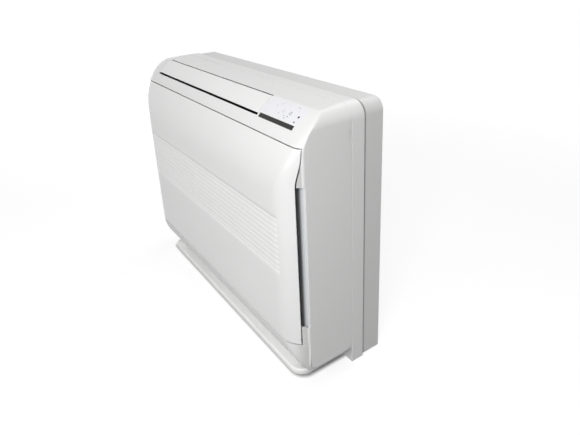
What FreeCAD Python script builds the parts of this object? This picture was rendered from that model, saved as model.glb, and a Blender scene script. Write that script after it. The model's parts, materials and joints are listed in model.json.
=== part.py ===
import FreeCAD, Part
import math
import os

os.makedirs("parts", exist_ok=True)
Vector = FreeCAD.Vector

# Whole unit: +X to the right, -Y to the front, +Z up, origin on the floor under the middle.
unit_width = 750.0
unit_height = 590.0
unit_depth = 230.0
half_width = unit_width / 2
front_y = -unit_depth / 2
rear_y = unit_depth / 2
wall = 3.0
over = 20.0
top_corner_radius = 30.0

# Front skin in side view: the top leans forward to a crease, then three arcs run down to the flat front.
crown_radius = 62.0
shoulder_radius = 165.0
brow_radius = 184.0
crease_angle = 19.5
crown_end_angle = 35.0
shoulder_end_angle = 58.0
upright_angle = 90.0
belly_radius = 150.0
belly_z = 131.0
crown_lead = 0.3

# Front skin in plan: the flat front ends in a large round at each side.
cheek_radius = 68.0
cheek_start_inset = 60.0
cheek_lead = 0.3
cheek_overrun = 1.0

# Depth stations, front to back.
rim_setback = 36.5
strip_setback = 147.5
groove_setback = 178.5
rear_shell_setback = 182.0
rear_shell_inset = 5.0
rear_shell_drop = 3.0
tongue_depth = 8.5
strip_wall = 4.0
seam_groove = 0.8
leg_width = 29.0
leg_height = 43.0
side_bottom_z = 40.0
side_toe_radius = 16.0
skirt_inset = 45.0
skirt_overrun = 5.0

# Base plate on the floor.
base_height = 14.0
base_front_setback = 23.0
base_corner_radius = 33.0
base_edge_round = 5.0
base_pipe_inset = 127.0
base_pipe_setback = 105.0
base_pipe_radius = 34.0
base_drain_radius = 20.0

# Front panel and the frame around it.
panel_bottom_z = 109.0
panel_top_drop = 59.5
panel_edge_inset = 10.0
panel_ear_inset = 3.0
panel_ear_low_drop = 135.0
panel_ear_mid_drop = 105.0
panel_ear_mid_inset = 7.6
panel_ear_high_drop = 76.0
panel_gap = 1.0
panel_seam = 2.0
cover_seam = 3.4
band_bottom_drop = 318.0
band_top_drop = 200.0
band_inset = 60.0
band_recess = 0.6
rib_count = 10
rib_valley_share = 0.3
rib_valley_depth = 1.7
slot_bottom_z = 151.0
slot_top_drop = 132.0
flange_thickness = 3.0
flange_top_drop = 30.0
window_inset = 43.0
window_bottom_z = 146.0
window_top_drop = 105.0
ridge_count = 4
ridge_low_z = 119.5
ridge_pitch = 6.6
ridge_height = 1.2
ridge_depth = 0.8

# Hinge of the front panel, low on its inner face.
hinge_setback = 9.0
hinge_z = 114.2
hinge_inset = 85.0
hinge_pin_radius = 2.5
running_clearance = 0.05
lug_radius = 5.0
lug_width = 6.0
lug_top = 6.0
bracket_gap = 1.0
bracket_width = 4.0
bracket_disc_radius = 4.4
bracket_arm_rear_setback = 19.0
bracket_post_front_setback = 14.0
bracket_foot_front_setback = 8.0
bracket_foot_z = 86.0
bracket_foot_top_z = 98.0
catch_inset = 125.0
catch_width = 24.0
catch_height = 5.0
catch_drop = 78.0
catch_rear_setback = 41.0
catch_room = 1.2

# Air outlet in the shoulder, its flap and the control field beside it.
outlet_left_inset = 44.0
outlet_right_inset = 167.0
flap_pivot_angle = 24.0
flap_barrel_radius = 7.0
flap_barrel_gap = 1.2
flap_front_angle = 46.2
outlet_front_angle = 48.1
flap_thickness = 3.5
flap_end_gap = 1.5
flap_pin_radius = 2.5
flap_pin_length = 9.0
outlet_cut_depth = 8.0
control_left_inset = 165.0
control_right_inset = 37.0
control_top_angle = 24.0
control_bottom_angle = 44.6
control_thickness = 1.2
receiver_left_inset = 161.0
receiver_right_inset = 44.0
receiver_top_angle = 45.4
receiver_bottom_angle = 48.7
lamp_inset = 51.7
lamp_angle = 43.2
lamp_radius = 1.8
button_inset = 49.5
button_angle = 38.95
button_radius = 2.2
button_hole_radius = 2.5
button_length = 6.5
button_collar_radius = 3.6
button_collar_gap = 0.4
button_collar = 1.0
button_travel = 1.2
tact_half_width = 3.0
tact_gap = 0.4
board_angle = 40.0
board_inset = 16.0
board_thickness = 1.6
board_left_inset = 141.0
board_right_inset = 37.0
board_half_height = 16.0
board_boss_radius = 3.5
board_boss_edge = 6.0

# Cross flow fan, its casing and the outlet duct.
fan_setback = 111.0
fan_drop = 122.0
fan_radius = 46.0
fan_left_inset = 51.0
fan_right_inset = 177.0
fan_disc = 3.0
fan_disc_count = 6
fan_blade_count = 22
fan_blade_depth = 11.0
fan_blade_thickness = 1.3
fan_blade_turn = 35.0
fan_blade_bulge_share = 1.5
hub_radius = 12.0
hub_length = 14.0
shaft_radius = 4.0
stub_left_inset = 29.0
bearing_radius = 8.0
bearing_left_inset = 34.0
bearing_right_inset = 41.0
holder_radius = 15.0
casing_left_inset = 45.0
casing_right_inset = 168.0
casing_wall = 3.0
guide_radius = 52.0
guide_wall = 2.5
guide_start_angle = -40.0
guide_end_angle = 75.0
duct_rear_end_setback = 98.0
duct_rear_end_drop = 24.0
tip_setback = 74.5
tip_drop = 86.0
duct_front_end_setback = 49.0
duct_front_end_drop = 43.5
casing_rear_setback = 175.0
casing_low_drop = 182.0
casing_high_drop = 45.0
casing_crown_setback = 107.0
casing_crown_drop = 6.2
casing_nose_setback = 84.0
casing_nose_drop = 9.0
casing_front_setback = 62.0
casing_sill_drop = 160.0
casing_step_setback = 103.0
shaft_hole_radius = 13.0
shaft_room = 0.5

# Motors.
motor_left_inset = 159.0
motor_right_inset = 117.0
motor_radius = 42.0
motor_boss_radius = 16.0
motor_boss = 6.0
motor_shaft_end_inset = 129.0
clamp_thickness = 4.0
clamp_left_inset = 149.0
clamp_right_inset = 127.0
clamp_half_height = 12.0
flap_motor_radius = 8.5
flap_motor_length = 18.0
flap_motor_drop = 5.5

# Vertical deflector vanes in the duct and the bars that tie them.
vane_group_count = 5
vane_half_length = 14.0
vane_span = 38.0
vane_thickness = 1.6
vane_edge_gap = 5.5
vane_along = 35.24
vane_pin_radius = 2.0
vane_pin_length = 8.0
vane_peg_offset = 9.0
vane_peg_radius = 1.2
vane_peg_length = 3.6
tie_gap = 0.9
tie_thickness = 2.4
tie_half_height = 5.5
tie_overhang = 9.0
tie_slot_half_width = 1.7
tie_slot_half_height = 3.2

# Heat exchanger and drain pan.
coil_left_inset = 45.0
coil_right_inset = 171.0
coil_front_setback = 61.0
coil_rear_setback = 101.0
coil_bottom_z = 128.0
coil_top_drop = 170.0
end_plate = 1.5
end_plate_bottom_z = 121.0
end_plate_top_drop = 166.0
fin_count = 44
fin_slot = 5.0
fin_slot_depth = 9.0
tube_radius = 3.5
tube_row_setbacks = (71.0, 91.0)
tube_level_count = 8
tube_first_z = 150.0
tube_top_margin = 32.0
tube_end = 4.0
pan_left_inset = 33.0
pan_right_inset = 159.0
pan_front_setback = 54.0
pan_bottom_z = 118.0
pan_rim_z = 146.0
spigot_inset = 179.0
spigot_setback = 135.0
spigot_radius = 9.0
spigot_bore = 6.5
spigot_length = 34.0

# Intake grille and the two air filters that lift out of it.
grille_inset = 30.0
grille_bottom_z = 134.0
grille_top_drop = 93.0
grille_rear_setback = 49.0
grille_bar = 3.0
grille_bar_front_setback = 46.0
grille_bars_across = 9
grille_bars_up = 4
grille_hole_inset = 44.0
rail_half_width = 4.0
rail_front_setback = 39.5
rail_lip_setback = 40.9
rail_lip = 4.5
filter_gap = 0.5
filter_front_setback = 41.3
filter_rear_setback = 45.6
filter_bottom_z = 146.4
filter_top_drop = 120.0
filter_frame = 8.0
filter_net = 0.8
filter_net_columns = 20
filter_net_rows = 14
filter_net_share = 0.86
filter_tab_width = 50.0
filter_tab_depth = 7.0
filter_tab_height = 14.0

# Electrical box on the right.
box_left_inset = 107.0
box_right_inset = 15.0
box_front_setback = 67.0
box_bottom_z = 180.0
box_top_drop = 160.0
box_wall = 2.0
box_lid = 2.0
circuit_thickness = 1.6
circuit_front_setback = 135.0
circuit_margin = 10.0
standoff_radius = 4.0
terminal_width = 60.0
terminal_depth = 20.0
terminal_height = 26.0
terminal_z = 205.0
terminal_ways = 4
terminal_screw_radius = 3.5
terminal_screw_depth = 4.0
capacitor_radius = 14.0
capacitor_height = 42.0
capacitor_drop = 210.0

# Refrigerant pipes with flare nuts, low on the right.
pipe_radii = (3.2, 4.8)
pipe_drop_insets = (135.0, 119.0)
pipe_bend = 14.0
pipe_end_z = 82.0
nut_radii = (8.5, 11.0)
nut_length = 20.0
nut_sides = 6
flare_bore_radii = (4.6, 7.0)

# Back plate, wall holes, grommet, screws.
plate_thickness = 2.0
wall_hole_radius = 3.5
wall_hole_inset = 115.0
wall_hole_low_z = 150.0
wall_hole_drop = 70.0
pipe_exit_inset = 113.0
pipe_exit_z = 75.0
pipe_exit_radius = 32.5
grommet_lip = 4.0
grommet_wall = 3.0
cord_inlet_inset = 75.0
cord_inlet_z = 60.0
cord_inlet_radius = 8.0
screw_radius = 2.0
screw_head_radius = 4.2
screw_head = 2.2
screw_length = 9.0
grille_screw_inset = 36.5
grille_screw_low_z = 140.0
grille_screw_drop = 99.0
plate_screw_left_inset = 175.0
plate_screw_right_inset = 315.0
plate_screw_drop = 90.0
foot_width = 16.0
foot_height = 14.0

# Places worked out from the outside size: side to side, front to back, then down from the top.
cheek_start_x = half_width - cheek_start_inset
skirt_half_width = half_width - skirt_inset
base_pipe_x = half_width - base_pipe_inset
panel_edge_x = half_width - panel_edge_inset
panel_ear_x = half_width - panel_ear_inset
panel_ear_mid_x = half_width - panel_ear_mid_inset
band_half_width = half_width - band_inset
window_half_width = half_width - window_inset
hinge_x = half_width - hinge_inset
catch_x = half_width - catch_inset
outlet_right_x = half_width - outlet_right_inset
control_left_x = half_width - control_left_inset
control_right_x = half_width - control_right_inset
receiver_left_x = half_width - receiver_left_inset
receiver_right_x = half_width - receiver_right_inset
lamp_x = half_width - lamp_inset
button_x = half_width - button_inset
board_left_x = half_width - board_left_inset
board_right_x = half_width - board_right_inset
fan_right_x = half_width - fan_right_inset
casing_right_x = half_width - casing_right_inset
motor_left_x = half_width - motor_left_inset
motor_right_x = half_width - motor_right_inset
motor_shaft_end_x = half_width - motor_shaft_end_inset
clamp_left_x = half_width - clamp_left_inset
clamp_right_x = half_width - clamp_right_inset
coil_right_x = half_width - coil_right_inset
pan_right_x = half_width - pan_right_inset
spigot_x = half_width - spigot_inset
grille_half_width = half_width - grille_inset
grille_hole_half_width = half_width - grille_hole_inset
box_left_x = half_width - box_left_inset
box_right_x = half_width - box_right_inset
wall_hole_x = half_width - wall_hole_inset
pipe_exit_x = half_width - pipe_exit_inset
outlet_left_x = outlet_left_inset - half_width
fan_left_x = fan_left_inset - half_width
stub_left_x = stub_left_inset - half_width
bearing_left_x = bearing_left_inset - half_width
bearing_right_x = bearing_right_inset - half_width
casing_left_x = casing_left_inset - half_width
coil_left_x = coil_left_inset - half_width
pan_left_x = pan_left_inset - half_width
cord_inlet_x = cord_inlet_inset - half_width
rim_y = front_y + rim_setback
strip_y = front_y + strip_setback
groove_y = front_y + groove_setback
rear_shell_y = front_y + rear_shell_setback
base_front_y = front_y + base_front_setback
base_pipe_y = front_y + base_pipe_setback
hinge_y = front_y + hinge_setback
bracket_arm_rear_y = front_y + bracket_arm_rear_setback
bracket_post_front_y = front_y + bracket_post_front_setback
bracket_foot_front_y = front_y + bracket_foot_front_setback
catch_rear_y = front_y + catch_rear_setback
fan_y = front_y + fan_setback
duct_rear_end_y = front_y + duct_rear_end_setback
tip_y = front_y + tip_setback
duct_front_end_y = front_y + duct_front_end_setback
casing_rear_y = front_y + casing_rear_setback
casing_crown_y = front_y + casing_crown_setback
casing_nose_y = front_y + casing_nose_setback
casing_front_y = front_y + casing_front_setback
casing_step_y = front_y + casing_step_setback
coil_front_y = front_y + coil_front_setback
coil_rear_y = front_y + coil_rear_setback
pan_front_y = front_y + pan_front_setback
spigot_y = front_y + spigot_setback
grille_rear_y = front_y + grille_rear_setback
grille_bar_front_y = front_y + grille_bar_front_setback
rail_front_y = front_y + rail_front_setback
rail_lip_y = front_y + rail_lip_setback
filter_front_y = front_y + filter_front_setback
filter_rear_y = front_y + filter_rear_setback
box_front_y = front_y + box_front_setback
circuit_front_y = front_y + circuit_front_setback
panel_top_z = unit_height - panel_top_drop
panel_ear_low_z = unit_height - panel_ear_low_drop
panel_ear_mid_z = unit_height - panel_ear_mid_drop
panel_ear_high_z = unit_height - panel_ear_high_drop
band_bottom_z = unit_height - band_bottom_drop
band_top_z = unit_height - band_top_drop
slot_top_z = unit_height - slot_top_drop
flange_top_z = unit_height - flange_top_drop
window_top_z = unit_height - window_top_drop
catch_z = unit_height - catch_drop
fan_z = unit_height - fan_drop
duct_rear_end_z = unit_height - duct_rear_end_drop
tip_z = unit_height - tip_drop
duct_front_end_z = unit_height - duct_front_end_drop
casing_low_z = unit_height - casing_low_drop
casing_high_z = unit_height - casing_high_drop
casing_crown_z = unit_height - casing_crown_drop
casing_nose_z = unit_height - casing_nose_drop
casing_sill_z = unit_height - casing_sill_drop
coil_top_z = unit_height - coil_top_drop
end_plate_top_z = unit_height - end_plate_top_drop
grille_top_z = unit_height - grille_top_drop
filter_top_z = unit_height - filter_top_drop
box_top_z = unit_height - box_top_drop
capacitor_z = unit_height - capacitor_drop
plate_screw_z = unit_height - plate_screw_drop
pipe_drop_x = [half_width - inset for inset in pipe_drop_insets]
tube_rows_y = [front_y + setback for setback in tube_row_setbacks]
grille_screw_x = (grille_screw_inset - half_width, 0.0, half_width - grille_screw_inset)
grille_screw_z = (grille_screw_low_z, unit_height - grille_screw_drop)
plate_screw_x = (plate_screw_left_inset - half_width, half_width - plate_screw_right_inset)
wall_hole_z = (wall_hole_low_z, unit_height - wall_hole_drop)
tube_pitch = (coil_top_z - tube_top_margin - tube_first_z) / (tube_level_count - 1)
plate_front_y = casing_rear_y


def box(x0, x1, y0, y1, z0, z1):
    return Part.makeBox(x1 - x0, y1 - y0, z1 - z0, Vector(x0, y0, z0))


def rod(radius, start, direction, length):
    return Part.makeCylinder(radius, length, start, direction)


def rod_x(radius, x0, x1, y, z):
    return rod(radius, Vector(x0, y, z), Vector(1, 0, 0), x1 - x0)


def fuse(shapes):
    return shapes[0].multiFuse(shapes[1:]).removeSplitter()


def mirrored(shape):
    return shape.mirror(Vector(0, 0, 0), Vector(1, 0, 0))


def both_sides(shape):
    return [shape, mirrored(shape)]


def face_of(edges):
    return Part.Face(Part.Wire(Part.__sortEdges__(edges)))


def line(a, b):
    return Part.LineSegment(a, b).toShape()


def arc(a, middle, b):
    return Part.Arc(a, middle, b).toShape()


def slab_x(points, x0, x1):
    corners = [Vector(x0, y, z) for y, z in points]
    return Part.Face(Part.makePolygon(corners + corners[:1])).extrude(Vector(x1 - x0, 0, 0))


def save(name, shape):
    shape.exportStep("parts/" + name + ".step")


# Outer skin. A place on the shoulder is told by the slope there, 0 flat on top and 90 upright.
def slope_normal(angle):
    turn = math.radians(angle)
    return Vector(0, -math.sin(turn), math.cos(turn))


brow_centre_y = front_y + brow_radius
brow_to_shoulder = slope_normal(shoulder_end_angle) * (brow_radius - shoulder_radius)
shoulder_to_crown = slope_normal(crown_end_angle) * (shoulder_radius - crown_radius)
crown_centre_y = brow_centre_y + brow_to_shoulder.y + shoulder_to_crown.y
crown_centre = Vector(0, crown_centre_y, unit_height + crown_lead - crown_radius)
shoulder_centre = crown_centre - shoulder_to_crown
brow_centre = shoulder_centre - brow_to_shoulder
belly_centre = Vector(0, front_y + belly_radius, belly_z)
cheek_centre_y = front_y - cheek_lead + cheek_radius


def skin_point(angle, inset):
    if angle <= crown_end_angle:
        return crown_centre + slope_normal(angle) * (crown_radius - inset)
    if angle <= shoulder_end_angle:
        return shoulder_centre + slope_normal(angle) * (shoulder_radius - inset)
    return brow_centre + slope_normal(angle) * (brow_radius - inset)


def skin_arc(start, end, inset):
    middle = (start + end) / 2
    return arc(skin_point(start, inset), skin_point(middle, inset), skin_point(end, inset))


def belly_point(angle, inset):
    turn = math.radians(angle)
    return belly_centre - Vector(0, math.cos(turn), math.sin(turn)) * (belly_radius - inset)


def profile_edges(inset, rear, bottom):
    reach = math.degrees(math.asin((belly_z - bottom) / (belly_radius - inset)))
    top_rear = Vector(0, rear, unit_height + crown_lead - inset)
    low_rear = Vector(0, rear, bottom)
    upright_end = skin_point(upright_angle, inset)
    belly_end = belly_point(reach, inset)
    return [
        line(low_rear, top_rear),
        line(top_rear, skin_point(crease_angle, inset)),
        skin_arc(crease_angle, crown_end_angle, inset),
        skin_arc(crown_end_angle, shoulder_end_angle, inset),
        skin_arc(shoulder_end_angle, upright_angle, inset),
        line(upright_end, belly_point(0, inset)),
        arc(belly_point(0, inset), belly_point(reach / 2, inset), belly_end),
        line(belly_end, low_rear),
    ]


def plan_face(inset, rear):
    side = half_width + cheek_overrun - inset
    radius = cheek_radius - inset
    tip = side - cheek_start_x
    edge = cheek_centre_y - math.sqrt(radius ** 2 - tip ** 2)
    half_turn = math.asin(tip / radius) / 2
    middle = Vector(cheek_start_x + radius * math.sin(half_turn),
                    cheek_centre_y - radius * math.cos(half_turn), 0)
    right = [Vector(side, rear, 0), Vector(side, edge, 0), middle,
             Vector(cheek_start_x, cheek_centre_y - radius, 0)]
    left = [Vector(-p.x, p.y, 0) for p in right]
    return face_of([
        line(left[0], right[0]),
        line(right[0], right[1]),
        arc(right[1], right[2], right[3]),
        line(right[3], left[3]),
        arc(left[3], left[2], left[1]),
        line(left[1], left[0]),
    ])


def arch_face(side, top, radius, bottom, y):
    round_x = side - radius
    round_z = top - radius
    diagonal = radius * math.sqrt(2) / 2
    right = [
        Vector(side, y, bottom),
        Vector(side, y, round_z),
        Vector(round_x + diagonal, y, round_z + diagonal),
        Vector(round_x, y, top),
    ]
    left = [Vector(-p.x, p.y, p.z) for p in right]
    return face_of([
        line(left[0], right[0]),
        line(right[0], right[1]),
        arc(right[1], right[2], right[3]),
        line(right[3], left[3]),
        arc(left[3], left[2], left[1]),
        line(left[1], left[0]),
    ])


def arch_block(side, top, radius, bottom, y0, y1):
    return arch_face(side, top, radius, bottom, y0).extrude(Vector(0, y1 - y0, 0))


def skin_body(inset, rear, bottom):
    profile = face_of(profile_edges(inset, rear, bottom))
    profile.translate(Vector(-half_width - over, 0, 0))
    swept = profile.extrude(Vector(unit_width + 2 * over, 0, 0))
    plan = plan_face(inset, rear + over)
    plan.translate(Vector(0, 0, bottom - over))
    round_ended = plan.extrude(Vector(0, 0, unit_height + 2 * over))
    arch = arch_block(half_width - inset, unit_height - inset, top_corner_radius - inset, bottom - over,
                      front_y - over, rear + over)
    return swept.common(arch).common(round_ended)


def skin_shell(thickness):
    inner = skin_body(thickness, strip_y + over, base_height - skirt_overrun)
    return whole_skin.cut(inner)


def slope_wedge(start, end, x0, x1, depth):
    corners = [skin_point(start, -depth), skin_point(end, -depth),
               skin_point(end, depth), skin_point(start, depth)]
    return slab_x([(p.y, p.z) for p in corners], x0, x1)


def slope_patch(start, end, x0, x1, thickness):
    ends = [start] + [angle for angle in (crown_end_angle, shoulder_end_angle) if start < angle < end] + [end]
    edges = [line(skin_point(angle, 0), skin_point(angle, thickness)) for angle in (start, end)]
    for inset in (0, thickness):
        edges += [skin_arc(first, last, inset) for first, last in zip(ends, ends[1:])]
    face = face_of(edges)
    face.translate(Vector(x0, 0, 0))
    return face.extrude(Vector(x1 - x0, 0, 0))


whole_skin = skin_body(0, strip_y, base_height)
shell = skin_shell(wall)
inner_space = skin_body(wall, strip_y, base_height)
flap_pivot = skin_point(flap_pivot_angle, flap_barrel_radius)


def panel_outline(edge_x, ear_x, low_z, top_z):
    points = [
        Vector(edge_x, front_y - over, low_z),
        Vector(edge_x, front_y - over, panel_ear_low_z),
        Vector(edge_x + panel_ear_mid_x - panel_edge_x, front_y - over, panel_ear_mid_z),
        Vector(ear_x, front_y - over, panel_ear_high_z),
        Vector(ear_x, front_y - over, top_z),
    ]
    left = [Vector(-p.x, p.y, p.z) for p in points]
    outline = face_of([
        line(left[0], points[0]),
        line(points[0], points[1]),
        arc(points[1], points[2], points[3]),
        line(points[3], points[4]),
        line(points[4], left[4]),
        line(left[4], left[3]),
        arc(left[3], left[2], left[1]),
        line(left[1], left[0]),
    ])
    return outline.extrude(Vector(0, rim_y - front_y + over, 0))


# Front panel: hinged door with a band of fine ribs.
def hinge_lug(x):
    middle = x - lug_width / 2
    disc = rod_x(lug_radius, middle, middle + lug_width, hinge_y, hinge_z)
    web = box(middle, middle + lug_width, front_y + wall / 2, hinge_y,
              panel_bottom_z + panel_gap, hinge_z + lug_top)
    bore = rod_x(hinge_pin_radius + running_clearance, middle - over, middle + over, hinge_y, hinge_z)
    return disc.fuse(web).cut(bore)


def rib_band():
    band_rear = front_y + band_recess
    cuts = [box(-band_half_width, band_half_width, front_y - over, band_rear, band_bottom_z, band_top_z)]
    pitch = (band_top_z - band_bottom_z) / rib_count
    half_valley = pitch * rib_valley_share / 2
    for index in range(1, rib_count):
        level = band_bottom_z + pitch * index
        valley_rear = front_y + rib_valley_depth
        cuts.append(box(-band_half_width, band_half_width, front_y - over, valley_rear,
                        level - half_valley, level + half_valley))
    return cuts


def front_panel():
    skin = shell.common(panel_outline(panel_edge_x, panel_ear_x, panel_bottom_z, panel_top_z))
    door = skin.cut(rib_band())
    lugs = [hinge_lug(hinge_x), hinge_lug(-hinge_x)]
    return fuse([door] + lugs)


def catch_block(room):
    half = catch_width / 2 + room
    return box(catch_x - half, catch_x + half, front_y, catch_rear_y,
               catch_z - room, catch_z + catch_height + room)


def panel_catches():
    return Part.makeCompound(both_sides(catch_block(0).common(inner_space)))


# Front cabinet: top, sides and shoulder in one moulding, with the frame behind the panel.
def intake_slot():
    slot = box(panel_edge_x + panel_gap, half_width + over, front_y - over, rim_y, slot_bottom_z, slot_top_z)
    return both_sides(slot)


def filter_flange():
    plate = inner_space.common(box(-half_width, half_width, rim_y, rim_y + flange_thickness,
                                   panel_bottom_z - cover_seam, flange_top_z))
    window = box(-window_half_width, window_half_width, rim_y - over, rim_y + over,
                 window_bottom_z, window_top_z)
    holes = [screw_hole(x, z) for x in grille_screw_x for z in grille_screw_z]
    return plate.cut([window] + holes + both_sides(catch_block(catch_room)))


def screw_hole(x, z):
    return rod(screw_radius, Vector(x, front_y, z), Vector(0, 1, 0), unit_depth)


def cheek_ridges():
    ring = plan_face(0, strip_y).cut(plan_face(ridge_depth, strip_y + over))
    cuts = []
    for index in range(ridge_count):
        level = ridge_low_z + ridge_pitch * index
        hoop = ring.copy()
        hoop.translate(Vector(0, 0, level))
        side = box(panel_edge_x + panel_gap, half_width + over, front_y, rim_y, level, level + ridge_height)
        cuts += both_sides(hoop.extrude(Vector(0, 0, ridge_height)).common(side))
    return cuts


def outlet_opening():
    wedge = slope_wedge(flap_pivot_angle, outlet_front_angle, outlet_left_x, outlet_right_x, outlet_cut_depth)
    room_radius = flap_barrel_radius + flap_barrel_gap
    barrel_room = rod_x(room_radius, outlet_left_x, outlet_right_x, flap_pivot.y, flap_pivot.z)
    return [wedge, barrel_room]


def round_hole(x, angle, radius):
    start = skin_point(angle, outlet_cut_depth) + Vector(x, 0, 0)
    return rod(radius, start, slope_normal(angle), 2 * outlet_cut_depth)


def board_frame(x, across, inset):
    along = slope_normal(board_angle - upright_angle)
    return skin_point(board_angle, inset) + along * across + Vector(x, 0, 0)


def board_bosses():
    pieces = []
    for x in (board_left_x + board_boss_edge, board_right_x - board_boss_edge):
        for across in (board_boss_edge - board_half_height, board_half_height - board_boss_edge):
            start = board_frame(x, across, board_inset)
            pieces.append(rod(board_boss_radius, start, slope_normal(board_angle), board_inset))
    return [inner_space.common(Part.makeCompound(pieces))]


def side_toe():
    corner = box(-half_width - over, half_width + over, rim_y, rim_y + side_toe_radius,
                 side_bottom_z, side_bottom_z + side_toe_radius)
    kept = rod_x(side_toe_radius, -half_width - over, half_width + over,
                 rim_y + side_toe_radius, side_bottom_z + side_toe_radius)
    return corner.cut(kept)


def cabinet_zone():
    seam_z = panel_bottom_z - cover_seam
    upper = box(-half_width - over, half_width + over, front_y - over, strip_y + over,
                seam_z, unit_height + over)
    side = box(half_width - wall - over, half_width + over, rim_y, strip_y + over, side_bottom_z, seam_z)
    return fuse([upper] + both_sides(side))


def front_cabinet():
    opening = panel_outline(panel_edge_x + panel_gap, panel_ear_x + panel_gap,
                            panel_bottom_z - cover_seam, panel_top_z + panel_seam)
    skin = shell.common(cabinet_zone()).cut([opening, side_toe()] + intake_slot())
    framed = fuse([skin, filter_flange()] + board_bosses())
    holes = [round_hole(button_x, button_angle, button_hole_radius),
             round_hole(lamp_x, lamp_angle, lamp_radius)]
    recesses = [control_blank(), receiver_window()]
    return framed.cut(outlet_opening() + holes + recesses + cheek_ridges()).removeSplitter()


# Control field on the right of the shoulder.
def control_blank():
    return slope_patch(control_top_angle, control_bottom_angle, control_left_x, control_right_x,
                       control_thickness)


def control_panel():
    holes = [round_hole(button_x, button_angle, button_hole_radius),
             round_hole(lamp_x, lamp_angle, lamp_radius)]
    return control_blank().cut(holes)


def receiver_window():
    return slope_patch(receiver_top_angle, receiver_bottom_angle, receiver_left_x, receiver_right_x, wall)


def indicator_lamp():
    start = skin_point(lamp_angle, wall) + Vector(lamp_x, 0, 0)
    return rod(lamp_radius, start, slope_normal(lamp_angle), wall)


def temporary_switch():
    normal = slope_normal(button_angle)
    top = skin_point(button_angle, 0) + Vector(button_x, 0, 0)
    stem = rod(button_radius, top - normal * button_length, normal, button_length)
    collar_top = top - normal * (wall + button_collar_gap)
    collar = rod(button_collar_radius, collar_top - normal * button_collar, normal, button_collar)
    return stem.fuse(collar).removeSplitter()


def board_block(x0, x1, across0, across1, inset0, inset1):
    corners = [board_frame(0, across0, inset0), board_frame(0, across1, inset0),
               board_frame(0, across1, inset1), board_frame(0, across0, inset1)]
    return slab_x([(p.y, p.z) for p in corners], x0, x1)


def display_board():
    return board_block(board_left_x, board_right_x, -board_half_height, board_half_height,
                       board_inset, board_inset + board_thickness)


def tact_switch():
    along = slope_normal(board_angle - upright_angle)
    middle = (skin_point(button_angle, button_length) - skin_point(board_angle, button_length)).dot(along)
    return board_block(button_x - tact_half_width, button_x + tact_half_width, middle - tact_half_width,
                       middle + tact_half_width, button_length + button_travel + tact_gap, board_inset)


# Lower cover: the curved skirt under the panel, with the hinge brackets.
def hinge_bracket(x0, x1):
    disc = rod_x(bracket_disc_radius, x0, x1, hinge_y, hinge_z)
    arm = box(x0, x1, hinge_y, bracket_arm_rear_y,
              hinge_z - bracket_disc_radius, hinge_z + bracket_disc_radius)
    post = box(x0, x1, bracket_post_front_y, bracket_arm_rear_y, bracket_foot_z, hinge_z)
    foot = box(x0, x1, bracket_foot_front_y, bracket_arm_rear_y, bracket_foot_z, bracket_foot_top_z)
    pin_hole = rod_x(hinge_pin_radius, x0 - over, x1 + over, hinge_y, hinge_z)
    return disc.multiFuse([arm, post, foot]).cut(pin_hole)


def bracket_places():
    near = lug_width / 2 + bracket_gap
    far = near + bracket_width
    return [(hinge_x + near, hinge_x + far), (hinge_x - far, hinge_x - near)]


def lower_cover():
    seam_z = panel_bottom_z - cover_seam
    ahead = box(-half_width - over, half_width + over, front_y - over, rim_y, base_height - over, seam_z)
    under = box(-skirt_half_width, skirt_half_width, rim_y, strip_y, base_height - over, side_bottom_z + over)
    skirt = shell.common(ahead.fuse(under))
    brackets = [hinge_bracket(x0, x1) for x0, x1 in bracket_places()]
    return fuse([skirt] + brackets + [mirrored(bracket) for bracket in brackets])


def panel_hinge_pins():
    reach = lug_width / 2 + bracket_gap + bracket_width
    pin = rod_x(hinge_pin_radius, hinge_x - reach, hinge_x + reach, hinge_y, hinge_z)
    return Part.makeCompound(both_sides(pin))


# Chassis ring behind the cabinet, rear shell against the wall, base plate and back plate.
def chassis_frame():
    outer = arch_block(half_width, unit_height, top_corner_radius, 0, strip_y, groove_y)
    inner = arch_block(half_width - strip_wall, unit_height - strip_wall, top_corner_radius - strip_wall,
                       -over, strip_y - over, groove_y + over)
    leg = box(half_width - leg_width, half_width - strip_wall, strip_y, groove_y, 0, leg_height)
    tongue_side = half_width - rear_shell_inset - wall
    tongue_top = unit_height - rear_shell_drop - wall
    tongue_radius = top_corner_radius - rear_shell_inset - wall
    plate_rear = plate_front_y + plate_thickness
    tongue = arch_block(tongue_side, tongue_top, tongue_radius, wall, plate_rear, groove_y + tongue_depth)
    tongue_inner = arch_block(tongue_side - strip_wall, tongue_top - strip_wall, tongue_radius - strip_wall,
                              -over, strip_y - over, rear_y)
    web = arch_block(half_width - strip_wall / 2, unit_height - strip_wall / 2,
                     top_corner_radius - strip_wall / 2, wall, plate_rear, groove_y)
    groove = arch_block(half_width - seam_groove, unit_height - seam_groove, top_corner_radius - seam_groove,
                        -over, strip_y, strip_y + seam_groove)
    lip = arch_block(half_width, unit_height, top_corner_radius, -over, strip_y, strip_y + seam_groove)
    ring = outer.cut(inner).cut(lip.cut(groove))
    return fuse([ring, tongue.cut(tongue_inner), web.cut(tongue_inner)] + both_sides(leg))


def rear_shell():
    side = half_width - rear_shell_inset
    top = unit_height - rear_shell_drop
    radius = top_corner_radius - rear_shell_inset
    outer = arch_block(side, top, radius, 0, rear_shell_y, rear_y)
    inner = arch_block(side - wall, top - wall, radius - wall, wall, rear_shell_y - over, rear_y - wall)
    holes = [rod(wall_hole_radius, Vector(x, rear_y - over, z), Vector(0, 1, 0), 2 * over)
             for x in (-wall_hole_x, wall_hole_x) for z in wall_hole_z]
    exits = [
        rod(pipe_exit_radius, Vector(pipe_exit_x, rear_y - over, pipe_exit_z), Vector(0, 1, 0), 2 * over),
        rod(cord_inlet_radius, Vector(cord_inlet_x, rear_y - over, cord_inlet_z), Vector(0, 1, 0), 2 * over),
    ]
    return outer.cut([inner] + holes + exits)


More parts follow.
